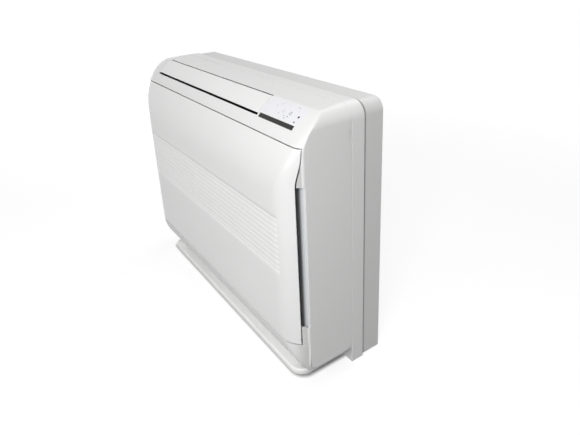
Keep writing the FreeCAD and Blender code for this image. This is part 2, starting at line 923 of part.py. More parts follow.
def base_plate():
    side = half_width - leg_width
    plate = box(-side, side, base_front_y, groove_y, 0, base_height)
    corners = [edge for edge in plate.Edges if is_front_upright(edge)]
    plate = plate.makeFillet(base_corner_radius, corners)
    rim = [edge for edge in plate.Edges if is_front_top(edge)]
    plate = plate.makeFillet(base_edge_round, rim)
    pipe_way = rod(base_pipe_radius, Vector(base_pipe_x, base_pipe_y, -over), Vector(0, 0, 1), 3 * over)
    drain_way = rod(base_drain_radius, Vector(spigot_x, spigot_y, -over), Vector(0, 0, 1), 3 * over)
    return plate.cut([pipe_way, drain_way])


def is_front_upright(edge):
    ends = edge.BoundBox
    return ends.ZLength > base_height / 2 and ends.YMax < base_front_y + base_height / 2


def is_front_top(edge):
    ends = edge.BoundBox
    flat_top = ends.ZMin > base_height / 2
    return flat_top and ends.YMin < groove_y - base_height


def plate_blank():
    return arch_block(half_width - strip_wall, unit_height - strip_wall, top_corner_radius - strip_wall,
                      base_height, plate_front_y, plate_front_y + plate_thickness)


def back_plate():
    leg_room = box(half_width - leg_width, half_width, strip_y, groove_y, 0, leg_height)
    pipe_way = rod(pipe_exit_radius, Vector(pipe_exit_x, 0, pipe_exit_z), Vector(0, 1, 0), rear_y)
    screws = [rod(screw_radius, Vector(x, 0, plate_screw_z), Vector(0, 1, 0), rear_y) for x in plate_screw_x]
    inlet = rod(cord_inlet_radius, Vector(cord_inlet_x, 0, cord_inlet_z), Vector(0, 1, 0), rear_y)
    return plate_blank().cut(both_sides(leg_room) + [pipe_way, inlet] + screws)


def pipe_grommet():
    start = Vector(pipe_exit_x, rear_y - wall - grommet_lip, pipe_exit_z)
    sleeve = rod(pipe_exit_radius, start, Vector(0, 1, 0), wall + grommet_lip)
    flange = rod(pipe_exit_radius + grommet_lip, start, Vector(0, 1, 0), grommet_lip)
    bore = rod(pipe_exit_radius - grommet_wall, start - Vector(0, over, 0), Vector(0, 1, 0), 3 * over)
    return sleeve.fuse(flange).removeSplitter().cut(bore)


def cord_inlet_bush():
    start = Vector(cord_inlet_x, rear_y - wall - grommet_lip, cord_inlet_z)
    sleeve = rod(cord_inlet_radius, start, Vector(0, 1, 0), wall + grommet_lip)
    flange = rod(cord_inlet_radius + grommet_lip, start, Vector(0, 1, 0), grommet_lip)
    bore = rod(cord_inlet_radius - grommet_wall, start - Vector(0, over, 0), Vector(0, 1, 0), 3 * over)
    return sleeve.fuse(flange).removeSplitter().cut(bore)


# Louver flap with a round hinge barrel along its rear edge.
def louver_flap():
    left = outlet_left_x + flap_end_gap
    right = outlet_right_x - flap_end_gap
    leaf = slope_patch(flap_pivot_angle, flap_front_angle, left, right, flap_thickness)
    barrel = rod_x(flap_barrel_radius, left, right, flap_pivot.y, flap_pivot.z)
    pins = rod_x(flap_pin_radius, left - flap_pin_length, right + flap_pin_length, flap_pivot.y, flap_pivot.z)
    return fuse([leaf, barrel, pins])


def flap_motor():
    start = casing_right_x + casing_wall
    can = rod_x(flap_motor_radius, start, start + flap_motor_length,
                flap_pivot.y, flap_pivot.z - flap_motor_drop)
    socket = rod_x(flap_pin_radius + running_clearance, start,
                   outlet_right_x + flap_pin_length + flap_end_gap, flap_pivot.y, flap_pivot.z)
    return can.cut(socket)


# Fan casing: rear guide wall, end walls and the duct up to the outlet.
def fan_point(angle, radius):
    turn = math.radians(angle)
    return Vector(0, fan_y + radius * math.cos(turn), fan_z + radius * math.sin(turn))


duct_start = fan_point(guide_end_angle, guide_radius)
duct_rear_end = Vector(0, duct_rear_end_y, duct_rear_end_z)
duct_along = (duct_rear_end - duct_start).normalize()
duct_across = Vector(0, duct_along.z, -duct_along.y)
vane_station = duct_start.dot(duct_along) + vane_along


def guide_wall_face():
    middle_angle = (guide_start_angle + guide_end_angle) / 2
    inner = [fan_point(angle, guide_radius) for angle in (guide_start_angle, middle_angle, guide_end_angle)]
    outer = [fan_point(angle, guide_radius + guide_wall)
             for angle in (guide_start_angle, middle_angle, guide_end_angle)]
    outer_end = duct_rear_end + duct_across * guide_wall
    return face_of([
        arc(inner[0], inner[1], inner[2]),
        line(inner[2], duct_rear_end),
        line(duct_rear_end, outer_end),
        line(outer_end, outer[2]),
        arc(outer[2], outer[1], outer[0]),
        line(outer[0], inner[0]),
    ])


def casing_end(x0, x1):
    return slab_x([
        (casing_rear_y, casing_low_z),
        (casing_rear_y, casing_high_z),
        (casing_crown_y, casing_crown_z),
        (casing_nose_y, casing_nose_z),
        (duct_front_end_y, duct_front_end_z),
        (tip_y - casing_wall, tip_z),
        (casing_front_y, fan_z),
        (casing_front_y, casing_sill_z),
        (casing_step_y, casing_sill_z),
        (casing_step_y, casing_low_z),
    ], x0, x1)


def casing_foot(x):
    foot = box(x - foot_width / 2, x + foot_width / 2, fan_y, plate_front_y,
               plate_screw_z - foot_height / 2, plate_screw_z + foot_height / 2)
    room = rod_x(guide_radius + guide_wall / 2, casing_left_x, casing_right_x, fan_y, fan_z)
    ahead = slab_x([(duct_start.y, fan_z), (duct_start.y, duct_rear_end_z), (fan_y - over, duct_rear_end_z),
                    (fan_y - over, fan_z)], casing_left_x, casing_right_x)
    pilot = rod(screw_radius, Vector(x, plate_front_y - screw_length, plate_screw_z), Vector(0, 1, 0), over)
    return foot.cut([room, ahead, pilot])


def fan_casing():
    guide = guide_wall_face()
    guide.translate(Vector(casing_left_x, 0, 0))
    wall_piece = guide.extrude(Vector(casing_right_x - casing_left_x, 0, 0))
    ends = [casing_end(casing_left_x - casing_wall, casing_left_x),
            casing_end(casing_right_x, casing_right_x + casing_wall)]
    feet = [casing_foot(x) for x in plate_screw_x]
    bores = [
        rod_x(holder_radius, casing_left_x - over, casing_left_x, fan_y, fan_z),
        rod_x(shaft_hole_radius, casing_right_x, casing_right_x + over, fan_y, fan_z),
        rod_x(flap_pin_radius + running_clearance, casing_left_x - over, casing_right_x + over,
              flap_pivot.y, flap_pivot.z),
    ]
    vane_bores = [vane_pin(x, vane_pin_radius + running_clearance) for x in vane_places()]
    return fuse([wall_piece] + ends + feet).cut(bores + vane_bores)


def stabiliser():
    tip = Vector(0, tip_y, tip_z)
    end = Vector(0, duct_front_end_y, duct_front_end_z)
    along = (end - tip).normalize()
    across = Vector(0, along.z, -along.y) * -guide_wall
    corners = [tip, end, end + across, tip + across]
    return slab_x([(p.y, p.z) for p in corners], casing_left_x, casing_right_x)


# Vanes: plates on pins in the rear duct wall, tied in two groups of five.
def vane_places():
    count = 2 * vane_group_count
    pitch = (casing_right_x - casing_left_x) / count
    return [casing_left_x + pitch * (index + 1 / 2) for index in range(count)]


def duct_place(x, along, across):
    wall_level = duct_start.dot(duct_across)
    return duct_along * along + duct_across * (wall_level - across) + Vector(x, 0, 0)


def duct_block(x0, x1, along0, along1, across0, across1):
    corners = [duct_place(0, along0, across0), duct_place(0, along1, across0),
               duct_place(0, along1, across1), duct_place(0, along0, across1)]
    return slab_x([(p.y, p.z) for p in corners], x0, x1)


def vane_pin(x, radius):
    return rod(radius, duct_place(x, vane_station, vane_edge_gap), duct_across, vane_pin_length)


def vane_peg(x, radius):
    start = duct_place(x, vane_station - vane_peg_offset, vane_edge_gap + vane_span)
    return rod(radius, start, duct_across * -1, vane_peg_length)


def vane(x):
    half = vane_thickness / 2
    plate = duct_block(x - half, x + half, vane_station - vane_half_length, vane_station + vane_half_length,
                       vane_edge_gap, vane_edge_gap + vane_span)
    return fuse([plate, vane_pin(x, vane_pin_radius), vane_peg(x, vane_peg_radius)])


def tie_bar(places):
    near = vane_edge_gap + vane_span + tie_gap
    level = vane_station - vane_peg_offset
    bar = duct_block(places[0] - tie_overhang, places[-1] + tie_overhang, level - tie_half_height,
                     level + tie_half_height, near, near + tie_thickness)
    slots = [duct_block(x - tie_slot_half_width, x + tie_slot_half_width, level - tie_slot_half_height,
                        level + tie_slot_half_height, near - over, near + over) for x in places]
    return bar.cut(slots)


# Cross flow fan: discs carry a ring of curved blades along the whole length.
def fan_blade(angle):
    outer = fan_point(angle, fan_radius)
    inner = fan_point(angle + fan_blade_turn / 2, fan_radius - fan_blade_depth)
    chord = inner - outer
    across = Vector(0, -chord.z, chord.y).normalize() * fan_blade_thickness
    bulge = (outer + inner) / 2 + across * fan_blade_bulge_share
    blade = face_of([
        arc(outer, bulge, inner),
        line(inner, inner + across),
        arc(inner + across, bulge + across, outer + across),
        line(outer + across, outer),
    ])
    blade.translate(Vector(fan_left_x, 0, 0))
    return blade.extrude(Vector(fan_right_x - fan_left_x, 0, 0))


def cross_flow_fan():
    step = (fan_right_x - fan_left_x - fan_disc) / (fan_disc_count - 1)
    discs = []
    for index in range(fan_disc_count):
        x = fan_left_x + step * index
        disc = rod_x(fan_radius, x, x + fan_disc, fan_y, fan_z)
        if 0 < index < fan_disc_count - 1:
            eye = rod_x(fan_radius - fan_blade_depth, x - over, x + over, fan_y, fan_z)
            disc = disc.cut(eye)
        discs.append(disc)
    outline = rod_x(fan_radius, fan_left_x, fan_right_x, fan_y, fan_z)
    blades = [fan_blade(360 / fan_blade_count * index).common(outline) for index in range(fan_blade_count)]
    hubs = [rod_x(hub_radius, fan_left_x, fan_left_x + hub_length, fan_y, fan_z),
            rod_x(hub_radius, fan_right_x - hub_length, fan_right_x, fan_y, fan_z)]
    sockets = [rod_x(shaft_radius, fan_left_x - over, fan_left_x + hub_length, fan_y, fan_z),
               rod_x(shaft_radius, fan_right_x - hub_length, fan_right_x + over, fan_y, fan_z)]
    return fuse(discs + blades + hubs).cut(sockets)


def fan_stub():
    return rod_x(shaft_radius, stub_left_x, fan_left_x + hub_length, fan_y, fan_z)


def motor_shaft():
    return rod_x(shaft_radius, fan_right_x - hub_length, motor_shaft_end_x, fan_y, fan_z)


def fan_bearing():
    ring = rod_x(bearing_radius, bearing_left_x, bearing_right_x, fan_y, fan_z)
    return ring.cut(rod_x(shaft_radius + running_clearance, stub_left_x, fan_left_x, fan_y, fan_z))


def bearing_holder():
    ring = rod_x(holder_radius, bearing_left_x, casing_left_x, fan_y, fan_z)
    pocket = rod_x(bearing_radius, bearing_left_x - over, bearing_right_x, fan_y, fan_z)
    way = rod_x(shaft_radius + shaft_room, bearing_left_x, fan_left_x, fan_y, fan_z)
    return ring.cut([pocket, way])


def fan_motor():
    can = rod_x(motor_radius, motor_left_x, motor_right_x, fan_y, fan_z)
    boss = rod_x(motor_boss_radius, motor_left_x - motor_boss, motor_left_x, fan_y, fan_z)
    bore = rod_x(shaft_radius + running_clearance, motor_left_x - over, motor_shaft_end_x + shaft_room,
                 fan_y, fan_z)
    return can.fuse(boss).removeSplitter().cut(bore)


def motor_clamp():
    ring = rod_x(motor_radius + clamp_thickness, clamp_left_x, clamp_right_x, fan_y, fan_z)
    foot = box(clamp_left_x, clamp_right_x, fan_y, plate_front_y,
               fan_z - clamp_half_height, fan_z + clamp_half_height)
    room = rod_x(motor_radius, clamp_left_x - over, clamp_right_x + over, fan_y, fan_z)
    return ring.fuse(foot).removeSplitter().cut(room)


# Heat exchanger: fin pack on hairpin tubes between two end plates, over the drain pan.
def tube_levels():
    return [tube_first_z + tube_pitch * index for index in range(tube_level_count)]


def tube_holes(x0, x1):
    return [rod_x(tube_radius, x0, x1, y, z) for y in tube_rows_y for z in tube_levels()]


def evaporator_fins():
    block = box(coil_left_x, coil_right_x, coil_front_y, coil_rear_y, coil_bottom_z, coil_top_z)
    pitch = (coil_right_x - coil_left_x) / fin_count
    slots = [box(coil_left_x + pitch * (index + 1 / 2), coil_left_x + pitch * (index + 1 / 2) + fin_slot,
                 coil_front_y - over, coil_front_y + fin_slot_depth, coil_bottom_z - over, coil_top_z + over)
             for index in range(fin_count)]
    return block.cut(slots).cut(tube_holes(coil_left_x, coil_right_x))


def evaporator_end(x0, x1):
    plate = box(x0, x1, coil_front_y, coil_rear_y, end_plate_bottom_z, end_plate_top_z)
    return plate.cut(tube_holes(x0, x1))


def bend(x, y0, y1, z0, z1, side):
    start = Vector(x, y0, z0)
    end = Vector(x, y1, z1)
    reach = (end - start).Length / 2
    middle = (start + end) / 2 + Vector(side * reach, 0, 0)
    path = Part.Wire([arc(start, middle, end)])
    ring = Part.Wire([Part.Circle(start, Vector(1, 0, 0), tube_radius).toShape()])
    return path.makePipeShell([ring], True, True)


def evaporator_hairpins():
    left = coil_left_x - end_plate - tube_end
    right = coil_right_x + end_plate + tube_end
    front, rear = tube_rows_y
    pieces = []
    for z in tube_levels():
        legs = [rod_x(tube_radius, left, right, y, z) for y in tube_rows_y]
        pieces.append(fuse(legs + [bend(left, front, rear, z, z, -1)]))
    return Part.makeCompound(pieces)


def evaporator_return_bends():
    right = coil_right_x + end_plate + tube_end
    front, rear = tube_rows_y
    levels = tube_levels()
    pieces = []
    for index in range(tube_level_count - 1):
        y = front if index % 2 == 0 else rear
        pieces.append(bend(right, y, y, levels[index], levels[index + 1], 1))
    return Part.makeCompound(pieces)


def drain_pan():
    outer = box(pan_left_x, pan_right_x, pan_front_y, plate_front_y, pan_bottom_z, pan_rim_z)
    inner = box(pan_left_x + wall, pan_right_x - wall, pan_front_y + wall, plate_front_y - wall,
                pan_bottom_z + wall, pan_rim_z + over)
    outlet = rod(spigot_bore, Vector(spigot_x, spigot_y, pan_bottom_z - over), Vector(0, 0, 1), 2 * over)
    return outer.cut([inner, outlet])


def drain_spigot():
    start = Vector(spigot_x, spigot_y, pan_bottom_z - spigot_length)
    tube = rod(spigot_radius, start, Vector(0, 0, 1), spigot_length)
    return tube.cut(rod(spigot_bore, start - Vector(0, 0, over), Vector(0, 0, 1), spigot_length + 2 * over))


# Intake grille behind the panel and the filters in its rails.
def intake_grille():
    front = rim_y + flange_thickness
    ring = box(-grille_half_width, grille_half_width, front, grille_rear_y, grille_bottom_z, grille_top_z)
    hole = box(-grille_hole_half_width, grille_hole_half_width, front - over, grille_rear_y + over,
               window_bottom_z, window_top_z)
    bars = []
    for index in range(1, grille_bars_across + 1):
        x = grille_hole_half_width * (2 * index / (grille_bars_across + 1) - 1)
        bars.append(box(x - grille_bar / 2, x + grille_bar / 2, grille_bar_front_y, grille_rear_y,
                        window_bottom_z, window_top_z))
    for index in range(1, grille_bars_up + 1):
        z = window_bottom_z + (window_top_z - window_bottom_z) * index / (grille_bars_up + 1)
        bars.append(box(-grille_hole_half_width, grille_hole_half_width, grille_bar_front_y, grille_rear_y,
                        z - grille_bar / 2, z + grille_bar / 2))
    holes = [screw_hole(x, z) for x in grille_screw_x for z in grille_screw_z]
    return fuse([ring.cut(hole)] + bars + filter_rails()).cut(holes)


def filter_rails():
    middle = box(-rail_half_width, rail_half_width, rail_front_y, grille_rear_y,
                 window_bottom_z, window_top_z)
    lip_half = rail_half_width + rail_lip
    middle_lip = box(-lip_half, lip_half, rail_front_y, rail_lip_y, window_bottom_z, window_top_z)
    edge = grille_hole_half_width - rail_half_width
    side = box(edge, grille_hole_half_width, rail_front_y, grille_rear_y, window_bottom_z, window_top_z)
    side_lip = box(edge - rail_lip, grille_hole_half_width, rail_front_y, rail_lip_y,
                   window_bottom_z, window_top_z)
    return [middle, middle_lip] + both_sides(side) + both_sides(side_lip)


def air_filter():
    x0 = rail_half_width + filter_gap
    x1 = grille_hole_half_width - rail_half_width - filter_gap
    frame = box(x0, x1, filter_front_y, filter_rear_y, filter_bottom_z, filter_top_z)
    space = box(x0 + filter_frame, x1 - filter_frame, filter_front_y - over, filter_rear_y + over,
                filter_bottom_z + filter_frame, filter_top_z - filter_frame)
    net = box(x0 + filter_frame, x1 - filter_frame, filter_rear_y - filter_net, filter_rear_y,
              filter_bottom_z + filter_frame, filter_top_z - filter_frame)
    middle = (x0 + x1) / 2
    tab = box(middle - filter_tab_width / 2, middle + filter_tab_width / 2, filter_front_y - filter_tab_depth,
              filter_front_y, filter_top_z - filter_tab_height, filter_top_z)
    return fuse([frame.cut(space), net.cut(net_gaps(net.BoundBox)), tab])


def net_gaps(field):
    across = field.XLength / filter_net_columns
    up = field.ZLength / filter_net_rows
    gap_x = across * filter_net_share
    gap_z = up * filter_net_share
    gaps = []
    for column in range(filter_net_columns):
        for row in range(filter_net_rows):
            x = field.XMin + across * column + (across - gap_x) / 2
            z = field.ZMin + up * row + (up - gap_z) / 2
            gaps.append(box(x, x + gap_x, field.YMin, field.YMax, z, z + gap_z))
    return Part.makeCompound(gaps)


# Electrical box with its lid, circuit board, terminal block and capacitor.
def electrical_box():
    outer = box(box_left_x, box_right_x, box_front_y, plate_front_y, box_bottom_z, box_top_z)
    inner = box(box_left_x + box_wall, box_right_x - box_wall, box_front_y - over, plate_front_y - box_wall,
                box_bottom_z + box_wall, box_top_z - box_wall)
    posts = [rod(standoff_radius, Vector(x, circuit_front_y + circuit_thickness, z), Vector(0, 1, 0),
                 plate_front_y - box_wall - circuit_front_y - circuit_thickness)
             for x in (box_left_x + 2 * circuit_margin, box_right_x - 2 * circuit_margin)
             for z in (box_bottom_z + 2 * circuit_margin, box_top_z - 2 * circuit_margin)]
    return fuse([outer.cut(inner)] + posts)


def electrical_lid():
    return box(box_left_x, box_right_x, box_front_y - box_lid, box_front_y, box_bottom_z, box_top_z)


def control_board():
    return box(box_left_x + circuit_margin, box_right_x - circuit_margin, circuit_front_y,
               circuit_front_y + circuit_thickness, box_bottom_z + circuit_margin, box_top_z - circuit_margin)


def terminal_block():
    middle = (box_left_x + box_right_x) / 2
    left = middle - terminal_width / 2
    block = box(left, left + terminal_width, circuit_front_y - terminal_depth, circuit_front_y,
                terminal_z, terminal_z + terminal_height)
    pitch = terminal_width / terminal_ways
    front = circuit_front_y - terminal_depth
    level = terminal_z + terminal_height / 2
    holes = [rod(terminal_screw_radius, Vector(left + pitch * (index + 1 / 2), front, level),
                 Vector(0, 1, 0), terminal_screw_depth) for index in range(terminal_ways)]
    return block.cut(holes)


def capacitor():
    start = Vector((box_left_x + box_right_x) / 2, circuit_front_y - capacitor_height, capacitor_z)
    return rod(capacitor_radius, start, Vector(0, 1, 0), capacitor_height)


# Refrigerant pipes: out of the coil, round one bend and down to a flare nut.
def refrigerant_pipe(index):
    radius = pipe_radii[index]
    y = tube_rows_y[1]
    z = tube_levels()[0] if index == 0 else tube_levels()[-1]
    start = Vector(coil_right_x + end_plate + tube_end, y, z)
    corner = Vector(pipe_drop_x[index], y, z)
    turn_in = corner - Vector(pipe_bend, 0, 0)
    turn_out = corner - Vector(0, 0, pipe_bend)
    swing = pipe_bend * (1 - math.sqrt(2) / 2)
    middle = corner - Vector(swing, 0, swing)
    end = Vector(corner.x, y, pipe_end_z)
    path = Part.Wire([line(start, turn_in), arc(turn_in, middle, turn_out), line(turn_out, end)])
    ring = Part.Wire([Part.Circle(start, Vector(1, 0, 0), radius).toShape()])
    return path.makePipeShell([ring], True, True)


def flare_nut(index):
    radius = nut_radii[index]
    centre = Vector(pipe_drop_x[index], tube_rows_y[1], pipe_end_z - nut_length / 2)
    corners = []
    for side in range(nut_sides):
        turn = 2 * math.pi * side / nut_sides
        corners.append(centre + Vector(radius * math.cos(turn), radius * math.sin(turn), 0))
    hexagon = Part.Face(Part.makePolygon(corners + corners[:1])).extrude(Vector(0, 0, nut_length))
    mouth = rod(flare_bore_radii[index], centre, Vector(0, 0, 1), pipe_end_z - centre.z)
    return hexagon.cut([refrigerant_pipe(index), mouth])


# Screws.
def grille_screws():
    pieces = []
    for x in grille_screw_x:
        for z in grille_screw_z:
            shank = rod(screw_radius, Vector(x, rim_y, z), Vector(0, 1, 0), screw_length)
            head = rod(screw_head_radius, Vector(x, rim_y - screw_head, z), Vector(0, 1, 0), screw_head)
            pieces.append(shank.fuse(head).removeSplitter())
    return Part.makeCompound(pieces)


def casing_screws():
    pieces = []
    plate_rear = plate_front_y + plate_thickness
    for x in plate_screw_x:
        shank = rod(screw_radius, Vector(x, plate_front_y - screw_length, plate_screw_z), Vector(0, 1, 0),
                    screw_length + plate_thickness)
        head = rod(screw_head_radius, Vector(x, plate_rear, plate_screw_z), Vector(0, 1, 0), screw_head)
        pieces.append(shank.fuse(head).removeSplitter())
    return Part.makeCompound(pieces)


save("front_panel", front_panel())
save("panel_catches", panel_catches())
save("front_cabinet", front_cabinet())
save("lower_cover", lower_cover())
save("panel_hinge_pins", panel_hinge_pins())
save("chassis_frame", chassis_frame())
save("rear_shell", rear_shell())
save("base_plate", base_plate())
save("back_plate", back_plate())
save("pipe_grommet", pipe_grommet())
save("cord_inlet_bush", cord_inlet_bush())
save("control_panel", control_panel())
save("receiver_window", receiver_window())
save("indicator_lamp", indicator_lamp())
save("temporary_switch", temporary_switch())
save("tact_switch", tact_switch())
save("display_board", display_board())
save("louver_flap", louver_flap())
save("flap_motor", flap_motor())
save("fan_casing", fan_casing())
save("stabiliser", stabiliser())
for index, x in enumerate(vane_places()):
    save("vane_" + str(index + 1), vane(x))
save("tie_bar_left", tie_bar(vane_places()[:vane_group_count]))
save("tie_bar_right", tie_bar(vane_places()[vane_group_count:]))
save("cross_flow_fan", cross_flow_fan())
save("fan_stub", fan_stub())
save("motor_shaft", motor_shaft())
save("fan_bearing", fan_bearing())
save("bearing_holder", bearing_holder())
save("fan_motor", fan_motor())
save("motor_clamp", motor_clamp())
save("evaporator_fins", evaporator_fins())
save("evaporator_end_left", evaporator_end(coil_left_x - end_plate, coil_left_x))
save("evaporator_end_right", evaporator_end(coil_right_x, coil_right_x + end_plate))
save("evaporator_hairpins", evaporator_hairpins())
save("evaporator_return_bends", evaporator_return_bends())
save("drain_pan", drain_pan())
save("drain_spigot", drain_spigot())
save("intake_grille", intake_grille())
save("filter_right", air_filter())
save("filter_left", mirrored(air_filter()))
save("electrical_box", electrical_box())
save("electrical_lid", electrical_lid())
save("control_board", control_board())
save("terminal_block", terminal_block())
save("capacitor", capacitor())
save("liquid_pipe", refrigerant_pipe(0))
save("gas_pipe", refrigerant_pipe(1))
save("flare_nuts", Part.makeCompound([flare_nut(0), flare_nut(1)]))
save("grille_screws", grille_screws())
save("casing_screws", casing_screws())
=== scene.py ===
import bpy
import json
import math
import numpy as np
from mathutils import Matrix, Vector


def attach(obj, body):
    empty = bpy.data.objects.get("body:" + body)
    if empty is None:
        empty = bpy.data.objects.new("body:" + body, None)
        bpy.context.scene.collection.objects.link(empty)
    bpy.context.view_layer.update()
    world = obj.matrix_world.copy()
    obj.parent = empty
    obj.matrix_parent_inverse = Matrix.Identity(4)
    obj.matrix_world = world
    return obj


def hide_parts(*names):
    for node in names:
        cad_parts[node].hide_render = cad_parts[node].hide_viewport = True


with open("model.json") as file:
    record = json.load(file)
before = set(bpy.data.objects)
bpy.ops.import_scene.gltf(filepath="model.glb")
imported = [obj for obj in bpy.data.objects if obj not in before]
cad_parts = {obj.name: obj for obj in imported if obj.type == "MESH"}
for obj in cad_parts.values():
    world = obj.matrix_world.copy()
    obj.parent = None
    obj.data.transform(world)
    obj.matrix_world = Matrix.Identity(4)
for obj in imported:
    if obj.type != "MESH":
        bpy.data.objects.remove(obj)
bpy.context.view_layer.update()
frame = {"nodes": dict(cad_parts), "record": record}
print("frame loaded:", len(frame["nodes"]), "nodes")

mm = 0.001
scene = bpy.context.scene

# camera, solved from the photograph's edges: angles in degrees, place in m, lens and shift in its pixels
viewPoint = {"yaw": 56.641, "pitch": 20.974, "roll": -2.716,
             "place": (1.039948, -0.543106, 0.842689),
             "focalPixels": 503.371, "framePixels": 580.0, "shiftPixels": -67.5,
             "sensor": 36.0, "clipEnd": 50.0}


# the camera's axes: back from yaw and pitch, right and up square to it, both turned by the roll
def addCamera(view):
    yaw, pitch, roll = (math.radians(view[key]) for key in ("yaw", "pitch", "roll"))
    back = np.array([math.sin(yaw) * math.cos(pitch), -math.cos(yaw) * math.cos(pitch), math.sin(pitch)])
    right = np.cross(-back, [0.0, 0.0, 1.0])
    right /= np.linalg.norm(right)
    up = np.cross(right, -back)
    matrix = np.eye(4)
    matrix[:3, 0] = math.cos(roll) * right + math.sin(roll) * up
    matrix[:3, 1] = -math.sin(roll) * right + math.cos(roll) * up
    matrix[:3, 2] = back
    matrix[:3, 3] = view["place"]
    lens = bpy.data.cameras.new("viewLens")
    lens.sensor_width = view["sensor"]
    lens.lens = view["focalPixels"] / view["framePixels"] * view["sensor"]
    lens.shift_y = view["shiftPixels"] / view["framePixels"]
    lens.clip_end = view["clipEnd"]
    holder = bpy.data.objects.new("viewCamera", lens)
    scene.collection.objects.link(holder)
    holder.matrix_world = Matrix(matrix.tolist())
    scene.camera = holder


addCamera(viewPoint)
print("camera set")

# outer skin in mm: arcs of the side view are (centre y, centre z, radius), slopes are degrees from level;
# the top leans forward from the rear seam to a crease on the crown
skin = {"front": -115.0, "top": 590.0, "half": 375.0, "seamY": 32.5, "wall": 3.0,
        "crown": (-6.192, 528.3, 62.0), "shoulder": (52.887, 443.927, 165.0),
        "brow": (69.0, 433.859, 184.0), "crease": 19.5, "crownEnd": 35.0, "shoulderEnd": 58.0,
        "bellyZ": 131.0, "bellyRound": 150.0,                    # where the front curls under
        "cheekX": 315.0, "cheekRound": 68.0, "rimRound": 10.0,   # the front's ends in plan
        "cornerX": 345.0, "cornerRound": 30.0,                   # the top's ends from the front
        "softness": 4.0, "cornerSoftness": 10.0}


# y and z on the shoulder for a slope: three arcs, one after another, point = centre + radius * (-sin, cos)
def shoulderPoint(angle):
    angle = np.asarray(angle, float)
    turn = np.radians(angle)
    pick = [angle <= skin["crownEnd"], angle <= skin["shoulderEnd"]]
    crown, shoulder, brow = skin["crown"], skin["shoulder"], skin["brow"]
    cy, cz, r = (np.select(pick, [crown[k], shoulder[k]], brow[k]) for k in range(3))
    return cy - r * np.sin(turn), cz + r * np.cos(turn)


# y on the front for a height: brow arc above, flat between, belly arc below
def frontDepth(z):
    z = np.asarray(z, float)
    cy, cz, r = skin["brow"]
    under = skin["bellyRound"]
    above = np.clip(z - cz, 0, r)
    below = np.clip(skin["bellyZ"] - z, 0, under)
    brow = cy - np.sqrt(r * r - above * above)
    belly = skin["front"] + under - np.sqrt(under * under - below * below)
    return np.where(z > cz, brow, belly)


# depth of the cheek in plan: a large arc, then a small one that runs tangent into the side
def cheekDepth(x):
    r, rim = skin["cheekRound"], skin["rimRound"]
    out = np.clip(np.abs(x) - skin["cheekX"], 0, r)
    width = skin["half"] - skin["cheekX"] - rim
    rise = math.sqrt((r - rim) ** 2 - width ** 2)
    large = r - np.sqrt(r * r - out * out)
    small = r - rise - np.sqrt(np.clip(rim * rim - (out - width) ** 2, 0, None))
    return np.where(out > r * width / (r - rim), small, large)


# the skin: how far in from the front is the p-norm of the side view's depth and the plan's depth,
# how far below the top is the p-norm of the side view's drop and the drop of the rounded top corner
def skinPoint(x, y, z):
    x, y, z = np.broadcast_arrays(x, y, z)
    p, q, r = skin["softness"], skin["cornerSoftness"], skin["cornerRound"]
    depth = ((y - skin["front"]) ** p + cheekDepth(x) ** p) ** (1 / p)
    out = np.clip(np.abs(x) - skin["cornerX"], 0, r)
    cornerDrop = r - np.sqrt(r * r - out * out)
    drop = (np.clip(skin["top"] - z, 0, None) ** q + cornerDrop ** q) ** (1 / q)
    return np.stack([x, skin["front"] + depth, skin["top"] - drop], axis=-1)


# values between knots: each stretch is divided into its own number of equal steps
def steps(knots, counts):
    parts = [np.linspace(a, b, n, endpoint=False) for a, b, n in zip(knots[:-1], knots[1:], counts)]
    return np.concatenate(parts + [np.array([knots[-1]])])


# points of a grid from x, y and z that run along its rows, its columns or both
def gridPoints(x, y, z):
    return np.stack(np.broadcast_arrays(x, y, z), axis=-1)


# faces of a grid of rows and columns; keep is a mask of the cells that stay
def gridFaces(rows, columns, keep=None):
    index = np.arange(rows * columns).reshape(rows, columns)
    quads = np.stack([index[:-1, :-1], index[:-1, 1:], index[1:, 1:], index[1:, :-1]], axis=-1)
    return quads[keep] if keep is not None else quads.reshape(-1, 4)


# several grids as one: the numbers in each one's faces follow on from the points before it
def joinGrids(grids):
    starts = np.cumsum([0] + [points.size // 3 for points, faces in grids])
    points = np.concatenate([points.reshape(-1, 3) for points, faces in grids])
    return points, np.concatenate([faces + start for (_, faces), start in zip(grids, starts)])


# piece from points in mm and faces by number, without the points that no face uses
def addMesh(name, points, faces, material, body, replaced=(), slot=None, smooth=True, merge=0.0, caps=()):
    points = np.asarray(points, float).reshape(-1, 3) * mm
    used = np.unique(faces)
    renumber = np.zeros(len(points), int)
    renumber[used] = np.arange(len(used))
    polygons = renumber[faces].tolist() + [renumber[cap].tolist() for cap in caps]
    mesh = bpy.data.meshes.new(name)
    mesh.from_pydata(points[used].tolist(), [], polygons)
    mesh.materials.append(material)
    mesh.polygons.foreach_set("use_smooth", np.full(len(polygons), smooth))
    mesh.update()
    piece = bpy.data.objects.new(name, mesh)
    scene.collection.objects.link(piece)
    if merge:
        piece.modifiers.new("weld", "WELD").merge_threshold = merge * mm
    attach(piece, body)
    if replaced:
        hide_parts(*replaced)
    return piece


# second finish on some faces of a piece; chosen is a mask of its first faces
def addSecondFinish(piece, material, chosen):
    numbers = np.zeros(len(piece.data.polygons), np.int32)
    numbers[:len(chosen)] = chosen
    piece.data.materials.append(material)
    piece.data.polygons.foreach_set("material_index", numbers)


bevelAngle = 50.0   # degrees; edges flatter than this get no round


